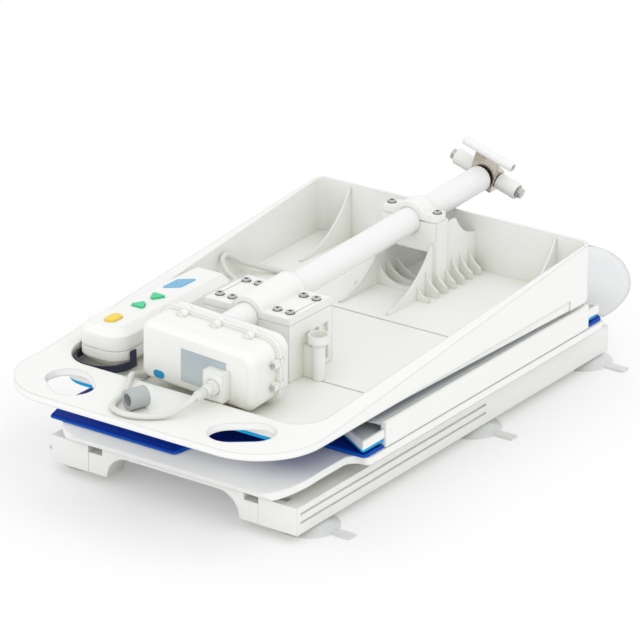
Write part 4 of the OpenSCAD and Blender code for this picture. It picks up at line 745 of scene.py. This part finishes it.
@dataclass
class Covers:
    """The blue pads on the seat, the flaps and the backrest, and the cloth behind the hinge. In millimetres."""

    seat_top: float = 62.0
    seat_half: float = 168.0
    seat_rear: float = 266.0
    cover_front: float = -169.0
    tongue_left: float = -152.0
    tongue_right: float = 8.0
    tongue_flare: float = 88.0
    tongue_angle: float = 22.5
    tongue_side: float = 27.0
    flare_deep: float = 11.0
    roll_y: float = -220.0
    roll_r: float = 95.0
    roll_squash: float = 0.82
    flap_axis_x: float = 161.0
    wall_clear: float = 0.5
    knuckle_clear: float = 0.6
    wall_inner: float = 4.5
    boss_inner: float = 4.0
    knuckle_len: float = 10.0
    knuckle_half: float = 3.0
    lug_x: float = 133.0
    lug_half: float = 5.5
    lug_deep: float = 17.5
    flap_z: float = 73.0
    flap_out: float = 167.5
    flap_wall: float = 163.0
    flap_boss: float = 16.5
    back_z: float = 97.0
    back_half: float = 152.0
    back_front: float = -243.0
    back_rear: float = 225.0
    back_round: float = 30.0
    seam_inset: float = 7.0
    seam_lift: float = 4.55
    tongue_seam: float = 6.0
    tongue_seam_lift: float = 4.6
    tongue_seam_ends: Point2 = (4.0, 8.0)
    tongue_seam_steps: int = 60
    tongue_seam_back: float = 3.6
    bridge_half: float = 167.0
    bridge_thick: float = 1.2
    bridge_curve: tuple[Point2, ...] = ((268.3, 64.0), (370.2, 58.0), (318.0, 128.0), (235.0, 154.0))
    bridge_rows: int = 48
    bridge_columns: int = 64

    def _on_seat(self, x: float, y: float, h: float) -> Point3:
        """A point of the seat's pad, rolled over the seat's front edge.

        Args:
            x: the pattern's sideways place in millimetres.
            y: its place along the seat.
            h: the height above the seat.

        Returns:
            The point in metres.
        """
        if y >= self.roll_y:
            return (x * MM, y * MM, (self.seat_top + h) * MM)
        a = (self.roll_y - y) / self.roll_r
        r = self.roll_r + h * self.roll_squash
        return (x * MM, (self.roll_y - r * math.sin(a)) * MM,
                (self.seat_top - self.roll_r + r * math.cos(a)) * MM)

    def _seat_outline(self) -> list[Point2]:
        """The seat pad's outline with its tongue and its cut-outs."""
        tip = self.roll_y - self.roll_r * math.radians(self.tongue_angle) + 0.4
        half, rear, front = self.seat_half, self.seat_rear, self.cover_front
        k0, k1 = self.flap_axis_x - self.knuckle_half, self.flap_axis_x + self.knuckle_half
        inner = self.flap_axis_x - self.wall_inner
        wf, wr = WALL_FRONT - self.wall_clear, WALL_REAR + self.wall_clear
        kl = self.knuckle_len + self.knuckle_clear
        lug = rear - self.lug_deep
        lug_in, lug_out = self.lug_x - self.lug_half, self.lug_x + self.lug_half
        right = [(half, front, 6), (half, wf, 0.6), (k1, wf, 0), (k1, wf - kl, 0.6), (k0, wf - kl, 0.6), (k0, wf, 0),
                 (inner, wf, 0.6), (inner, wr, 0.6), (k0, wr, 0), (k0, wr + kl, 0.6), (k1, wr + kl, 0.6),
                 (k1, wr, 0), (half, wr, 0.6), (half, rear, 6)]
        lugs = [(lug_out, rear, 0.6), (lug_out, lug, 0.6), (lug_in, lug, 0.6), (lug_in, rear, 0.6)]
        mirrored = [(-x, y, r) for x, y, r in reversed(right)]
        left_lugs = [(-x, y, r) for x, y, r in reversed(lugs)]
        tongue = [(self.tongue_left, tip, 3), (self.tongue_right, tip, 9),
                  (self.tongue_right, self.roll_y - self.tongue_side, 20),
                  (self.tongue_flare, front - self.flare_deep, 8), (self.tongue_flare, front, 5)]
        return rounded_loop([*tongue, *right, *lugs, *left_lugs, *mirrored, (self.tongue_left, front, 5)])

    def _flap_outline(self) -> list[Point2]:
        """The right flap pad's outline with its hinge's cut-outs."""
        wf, wr = WALL_FRONT - self.wall_clear, WALL_REAR + self.wall_clear
        kl = self.knuckle_len + self.knuckle_clear
        k0, k1 = self.flap_axis_x - self.knuckle_half, self.flap_axis_x + self.knuckle_half
        boss = self.flap_axis_x - self.boss_inner
        out, wall, deep = self.flap_out, self.flap_wall, self.flap_boss
        hinge = [(out, wf, 0.6), (k1, wf, 0), (k1, wf - kl, 0.6), (k0, wf - kl, 0.6), (k0, wf, 0), (boss, wf, 0.6),
                 (boss, wf + deep, 0.6), (wall, wf + deep, 0.6), (wall, wr - deep, 0.6), (boss, wr - deep, 0.6),
                 (boss, wr, 0.6), (k0, wr, 0), (k0, wr + kl, 0.6), (k1, wr + kl, 0.6), (k1, wr, 0), (out, wr, 0.6)]
        return rounded_loop([(34.5, -94.5, 3), (out, -172.0, 3), *hinge, (out, 257.0, 3), (150.0, 248.0, 6),
                             (34.5, 161.0, 6), (22.5, 149.0, 6), (22.5, -82.0, 6)])

    def _back_outline(self, inset: float, step: float) -> list[Point2]:
        """The backrest pad's outline, or one inside it.

        Args:
            inset: how far inside it lies, in millimetres.
            step: the longest piece of outline.

        Returns:
            The outline's points.
        """
        x, r = self.back_half - inset, self.back_round - inset
        front, rear = self.back_front + inset, self.back_rear - inset
        return rounded_loop([(-x, front, r), (x, front, r), (x, rear, r), (-x, rear, r)], step)

    @staticmethod
    def _hanging(level: float) -> Placing:
        """The placing of a pad that hangs below a level."""
        return lambda x, y, h: (x * MM, y * MM, (level - h) * MM)

    def build(self, shop: Workshop) -> None:
        """Make every cover.

        Args:
            shop: the piece maker.
        """
        # The pads' side bands: painted shade (deep) on the seat pad, painted light (edge) on the flap and backrest
        # pads.
        edge, deep = shop.finishes.edge_painted_lit, shop.finishes.edge_painted_shade
        PadPattern("seat_pad", "seat_cover", "seat", self._seat_outline(), self._on_seat).build(shop, deep)
        flap = self._flap_outline()
        under, below = self._hanging(self.flap_z), self._hanging(self.back_z)
        PadPattern("flap_pad_right", "flap_right_cover", "flap_right", flap, under).build(shop, edge)
        mirror = [(-x, y) for x, y in reversed(flap)]
        PadPattern("flap_pad_left", "flap_left_cover", "flap_left", mirror, under).build(shop, edge)
        back = self._back_outline(0.0, 3.0)
        PadPattern("backrest_pad", "backrest_cover", "backrest", back, below).build(shop, edge)
        seam = self._back_outline(self.seam_inset, 6.0)
        path = [below(x, y, self.seam_lift) for x, y in [*seam, seam[0]]]
        stitches(shop, "backrest_pad_seam", path, [Vector((0, 0, -1))] * len(path), "backrest")
        tip = self.roll_y - self.roll_r * math.radians(self.tongue_angle)
        first, last = self.tongue_left + self.tongue_seam_ends[0], self.tongue_right - self.tongue_seam_ends[1]
        row = [(x, tip + self.tongue_seam) for x in np.linspace(first, last, self.tongue_seam_steps)]
        lean = math.radians(self.tongue_angle - self.tongue_seam_back)
        stitches(shop, "seat_pad_seam", [self._on_seat(x, y, self.tongue_seam_lift) for x, y in row],
                 [Vector((0, -math.sin(lean), math.cos(lean)))] * len(row), "seat")
        self._bridge(shop)

    def _bridge(self, shop: Workshop) -> None:
        """The cloth loop from the seat's rear edge, out, up and over to the backrest's rear wall."""
        ends = [Vector(p) for p in self.bridge_curve]
        rows, columns = self.bridge_rows, self.bridge_columns
        points, faces = [], []
        length = 0.0
        last = None
        for i in range(rows + 1):
            t = i / rows
            u = 1.0 - t
            spot = ends[0] * u ** 3 + ends[1] * 3 * u * u * t + ends[2] * 3 * u * t * t + ends[3] * t ** 3
            slope = ((ends[1] - ends[0]) * 3 * u * u + (ends[2] - ends[1]) * 6 * u * t
                     + (ends[3] - ends[2]) * 3 * t * t).normalized()
            out = Vector((slope.y, -slope.x))
            length += 0.0 if last is None else (spot - last).length
            last = spot.copy()
            free = math.sin(math.pi * t)
            for k in range(columns + 1):
                x = -self.bridge_half + 2.0 * self.bridge_half * k / columns
                fold = noise.noise(Vector((x * 0.02, t * 1.6, 7.0))) * 1.5
                fold += noise.noise(Vector((x * 0.055, t * 3.0, 1.0))) * 0.6
                sag = -1.4 * (x / self.bridge_half) ** 4
                move = out * (free * (fold + sag - 0.6))
                points.append((x * MM, (spot.x + move.x) * MM, (spot.y + move.y) * MM))
        for i in range(rows):
            for k in range(columns):
                a = i * (columns + 1) + k
                faces.append((a, a + columns + 1, a + columns + 2, a + 1))
        made = shop.piece("cover_bridge_cloth", points, faces, "", "white_fabric")
        thick = made.modifiers.new("cloth", "SOLIDIFY")
        thick.thickness = self.bridge_thick * MM
        thick.offset = 0.0
        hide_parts("cover_bridge")
        length * MM
        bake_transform(made)


@dataclass
class Cable:
    """The handset's cable, from its plug at the motor round to the handset. In millimetres."""

    radius: float = 3.0
    route: tuple[Point3, ...] = (
        (37.74, -250, 129.5), (37.74, -260, 129.06), (37.74, -270, 128.6), (34.2, -285, 123.2), (26, -299, 119),
        (12, -311, 118.6), (-6, -317.5, 118.6), (-24, -314, 118.6), (-33, -301, 118.6), (-38, -284, 118.6),
        (-46, -266, 118.8), (-55, -250, 118.8), (-61.5, -238, 118.3), (-66.5, -226, 113), (-70.5, -211, 106),
        (-74, -188, 103.4), (-76, -140, 103.4), (-78, -80, 103.4), (-80, -20, 103.4), (-84, 30, 103.4),
        (-96, 72, 103.4), (-118, 94, 103.4), (-142, 90, 106), (-154, 72, 115), (-158, 56, 126), (-159, 45, 131),
        (-157, 37, 128), (-150, 32, 122), (-140, 26, 119.5), (-128, 20, 119), (-123, 12, 119), (-121.5, 2, 119),
        (-121.5, -10, 119), (-121.5, -26, 119))
    steps: int = 8

    def centreline(self) -> list[Vector]:
        """The cable's smooth line through its route's points, in metres."""
        p = [Vector(q) * MM for q in self.route]
        line = []
        for i in range(len(p) - 1):
            a, b, c, d = p[max(0, i - 1)], p[i], p[i + 1], p[min(len(p) - 1, i + 2)]
            for k in range(self.steps):
                t = k / self.steps
                line.append(0.5 * (2 * b + (c - a) * t + (2 * a - 5 * b + 4 * c - d) * t * t
                                   + (3 * b - 3 * c + d - a) * t ** 3))
        return [*line, p[-1]]

    def build(self, finishes: Finishes) -> bpy.types.Object:
        """Lay the cable.

        Args:
            finishes: the lift's materials.

        Returns:
            The cable.
        """
        line = self.centreline()
        curve = bpy.data.curves.new("handset_cable", "CURVE")
        curve.dimensions = "3D"
        curve.bevel_depth = self.radius * MM
        curve.bevel_resolution = 5
        curve.use_fill_caps = True
        spline = curve.splines.new("POLY")
        spline.points.add(len(line) - 1)
        spline.points.foreach_set("co", [v for p in line for v in (*p, 1.0)])
        spline.use_smooth = True
        curve.materials.append(finishes.by_slot["cord"])
        made = bpy.data.objects.new("handset_cable", curve)
        bpy.context.scene.collection.objects.link(made)
        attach(made, "backrest")
        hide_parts("cable")
        length = sum((b - a).length for a, b in zip(line, line[1:]))
        LOG.info("cable: %.3f m", length)
        return made


@dataclass
class Trim:
    """Small pieces on the drive, the handset and the flaps. In millimetres."""

    wing_top: float = 168.0
    ear_top: float = 183.0
    screw_r: float = 4.2
    screw_h: float = 2.6
    wing_x: tuple[float, float] = (27.5, 43.0)
    wing_y: tuple[float, float] = (-118.5, -74.5)
    ear_x: float = 28.5
    ear_y: float = 161.0
    ring_steps: int = 32
    handset_top: float = 147.0
    label: tuple[Point3, ...] = ((-133.5, -100.0, 3), (-116.5, -86.0, 3), (-116.5, -56.0, 3), (-133.5, -70.0, 3))
    label_layers: tuple[Point2, ...] = ((1.0, 0.02), (1.0, 0.22), (0.97, 0.32))
    shoulder: tuple[Point2, ...] = (
        (164.0, 84.2), (164.0, 87.6), (158.0, 87.4), (147.0, 86.2), (138.0, 84.4), (136.6, 83.4), (138.0, 82.8),
        (147.0, 84.0), (157.0, 84.6))
    shoulder_rows: int = 48

    def screw_spots(self) -> list[Point3]:
        """The clamp screws' places on the clamps' tops, in millimetres."""
        spots = [(side.value * x, y, self.wing_top) for side in Side for x in self.wing_x for y in self.wing_y]
        return spots + [(side.value * self.ear_x, self.ear_y, self.ear_top) for side in Side]

    def build(self, shop: Workshop) -> None:
        """Make the trim.

        Args:
            shop: the piece maker.
        """
        self._screw_rings(shop)
        self._label(shop)
        for side in Side:
            self._shoulder(shop, side)

    def _screw_rings(self, shop: Workshop) -> None:
        """Painted shade: a near-black ring round each clamp screw for the shade in its countersink, and a near-black
        disc for the shade in its socket.
        """
        points, faces = [], []
        steps = self.ring_steps
        for x, y, z in self.screw_spots():
            for r0, r1, low, high in ((self.screw_r - 0.1, self.screw_r + 0.8, 0.05, 0.4),
                                      (0.05, self.screw_r * 0.48, self.screw_h - 1.35, self.screw_h - 1.1)):
                first = len(points)
                for k in range(steps):
                    c, s = math.cos(2 * math.pi * k / steps), math.sin(2 * math.pi * k / steps)
                    points += [((x + r * c) * MM, (y + r * s) * MM, (z + h) * MM)
                               for r, h in ((r0, low), (r0, high * 0.7), ((r0 + r1) / 2, high), (r1, high * 0.6),
                                            (r1, low))]
                for k in range(steps):
                    a, b = first + 5 * k, first + 5 * ((k + 1) % steps)
                    faces += [(a + j, b + j, b + (j + 1) % 5, a + (j + 1) % 5) for j in range(5)]
        shop.piece("clamp_screw_recesses", points, faces, "backrest", "bush", [shop.finishes.recess_dark])

    def _shoulder(self, shop: Workshop, side: Side) -> None:
        """The thin moulded shoulder along the inner side of a flap's hinge wall.

        Args:
            shop: the piece maker.
            side: the flap's side.
        """
        rows = np.linspace(WALL_FRONT + 1.0, WALL_REAR - 1.0, self.shoulder_rows)
        count = len(self.shoulder)
        points = [(side.value * x * MM, y * MM, z * MM) for y in rows for x, z in self.shoulder]
        faces = [(r * count + k, r * count + (k + 1) % count, (r + 1) * count + (k + 1) % count, (r + 1) * count + k)
                 for r in range(len(rows) - 1) for k in range(count)]
        faces += [tuple(reversed(range(count))), tuple(range((len(rows) - 1) * count, len(rows) * count))]
        if side is Side.LEFT:
            faces = [tuple(reversed(f)) for f in faces]
        shop.piece(f"flap_shoulder_{side.name.lower()}", points, faces, f"flap_{side.name.lower()}", "white_seat")

    def _label(self, shop: Workshop) -> None:
        """The handset's plain blue label: a thin patch with slanted ends."""
        loop = rounded_loop(self.label, 2.0)
        count = len(loop)
        middle = (sum(p[0] for p in loop) / count, sum(p[1] for p in loop) / count)
        points = []
        for grow, h in self.label_layers:
            points += [((middle[0] + (x - middle[0]) * grow) * MM, (middle[1] + (y - middle[1]) * grow) * MM,
                        (self.handset_top + h) * MM) for x, y in loop]
        faces = [tuple(range(2 * count, 3 * count)), tuple(range(count - 1, -1, -1))]
        for ring in (0, count):
            faces += [(ring + k, ring + (k + 1) % count, ring + count + (k + 1) % count, ring + count + k)
                      for k in range(count)]
        shop.piece("handset_label", points, faces, "backrest", "badge", [shop.finishes.label_blue], smooth=False)


@dataclass
class Studio:
    """Camera, lamps, world and floor."""

    eye: Point3 = (2.1352, -3.0015, 1.6290)
    target: Point3 = (-0.0124, 0.0093, 0.1046)
    lens: float = 221.1
    sensor: float = 36.0
    lamps: tuple[tuple[str, Point3, float, float], ...] = (
        ("key", (1.5, -0.2, 2.0), 1.6, 7.0), ("fill", (-1.8, -1.9, 1.5), 2.2, 4.0),
        ("front", (0.5, -2.4, 0.75), 1.6, 5.0))
    lamp_target: Point3 = (0.0, 0.0, 0.1)
    floor_half: float = 20.0
    world_level: float = 0.96
    shadow_near: float = 0.32
    shadow_far: float = 0.56
    bleach: float = 0.25

    def camera(self) -> None:
        """The photograph's camera."""
        lens = bpy.data.cameras.new("camera")
        lens.lens = self.lens
        lens.sensor_width = self.sensor
        lens.clip_end = 100.0
        made = bpy.data.objects.new("camera", lens)
        made.location = self.eye
        made.rotation_euler = (Vector(self.target) - Vector(self.eye)).to_track_quat("-Z", "Y").to_euler()
        bpy.context.scene.collection.objects.link(made)
        bpy.context.scene.camera = made

    def lights(self) -> None:
        """A large key from the right, a fill from the left, a low front lamp, and an even white world."""
        for name, spot, size, watts in self.lamps:
            lamp = bpy.data.lights.new(name, "AREA")
            lamp.energy = watts
            lamp.size = size
            made = bpy.data.objects.new(name, lamp)
            made.location = spot
            made.rotation_euler = (Vector(self.lamp_target) - Vector(spot)).to_track_quat("-Z", "Y").to_euler()
            bpy.context.scene.collection.objects.link(made)
        world = bpy.data.worlds.new("studio")
        bpy.context.scene.world = world
        g = Graph(world)
        level, white = (g.node("ShaderNodeBackground", inputs={"Color": (1.0, 1.0, 1.0), "Strength": strength})
                        for strength in (self.world_level, 1.0))
        sky = g.node("ShaderNodeMixShader", inputs={0: g.seen(), 1: level, 2: white})
        g.node("ShaderNodeOutputWorld", inputs={"Surface": sky})

    def floor(self) -> None:
        """A wide white floor that takes the soft shadow near the lift."""
        mesh = bpy.data.meshes.new("floor")
        half = self.floor_half
        mesh.from_pydata([(-half, -half, 0), (half, -half, 0), (half, half, 0), (-half, half, 0)], [], [(0, 1, 2, 3)])
        g = Graph("floor_paper")
        speck = g.clouds(40.0, 3.0)
        paper = g.node("ShaderNodeBsdfPrincipled", inputs={
            "Base Color": g.mix(speck, (0.965, 0.965, 0.965), (0.955, 0.955, 0.955)),
            "Roughness": 0.9, "Specular IOR Level": 0.1})
        white = g.node("ShaderNodeEmission", inputs={"Color": (1.0, 1.0, 1.0), "Strength": 1.0})
        run = g.node("ShaderNodeVectorMath", {"operation": "LENGTH"}, {0: g.place()}, out="Value")
        far = g.node("ShaderNodeMapRange", {"interpolation_type": "SMOOTHSTEP"},
                     {0: run, 1: self.shadow_near, 2: self.shadow_far, 3: self.bleach, 4: 1.0})
        mesh.materials.append(g.close(g.node("ShaderNodeMixShader", inputs={0: g.seen() * far, 1: paper, 2: white})))
        made = bpy.data.objects.new("floor", mesh)
        bpy.context.scene.collection.objects.link(made)


@dataclass
class RoundedEdges:
    """How far each CAD node's edges are rounded, in millimetres."""

    widths: dict[str, float] = field(default_factory=lambda: {
        "backrest_shell": 1.4, "seat_plate": 1.6, "rail_left": 1.4, "rail_right": 1.4, "front_beam": 1.6,
        "rear_beam": 1.2, "flap_left": 1.0, "flap_right": 1.0, "upper_clamp_base": 1.2, "upper_clamp_cap": 0.45,
        "lower_clamp_cap": 1.6, "motor_cover": 1.5, "motor_housing": 1.2, "actuator_tube": 0.6, "handset_lower": 1.6,
        "handset_upper": 2.0, "handset_hanger": 0.6, "button_stop": 0.7, "button_up": 0.7, "button_down": 0.7,
        "t_bracket": 0.5, "cross_tube": 0.6, "roller_left": 0.8, "roller_right": 0.8, "axle_nuts": 0.4,
        "t_axle": 0.5, "clamp_screws": 0.4, "cable_plug": 0.5, "inline_connector": 1.0, "suction_cups": 0.5,
        "outer_arms": 0.8, "inner_arms": 0.8, "seat_runners": 0.8, "rating_plate": 0.15, "blue_badge": 0.15})

    def apply(self) -> None:
        """Round the edges."""
        for node, width in self.widths.items():
            Workshop.soften(node, width)


def write_sizes() -> None:
    """Update the view layer."""
    bpy.context.view_layer.update()


def main() -> None:
    """Build the scene."""
    logging.basicConfig(level=logging.INFO, format="%(name)s: %(message)s")
    bpy.context.scene.view_settings.view_transform = "Standard"
    studio = Studio()
    studio.camera()
    finishes = Finishes()
    Cable().build(finishes)
    finishes.dress(frame["nodes"], frame["record"])
    shop = Workshop(finishes)
    RoundedEdges().apply()
    Covers().build(shop)
    Trim().build(shop)
    studio.lights()
    studio.floor()
    write_sizes()


if __name__ == "__main__":
    main()
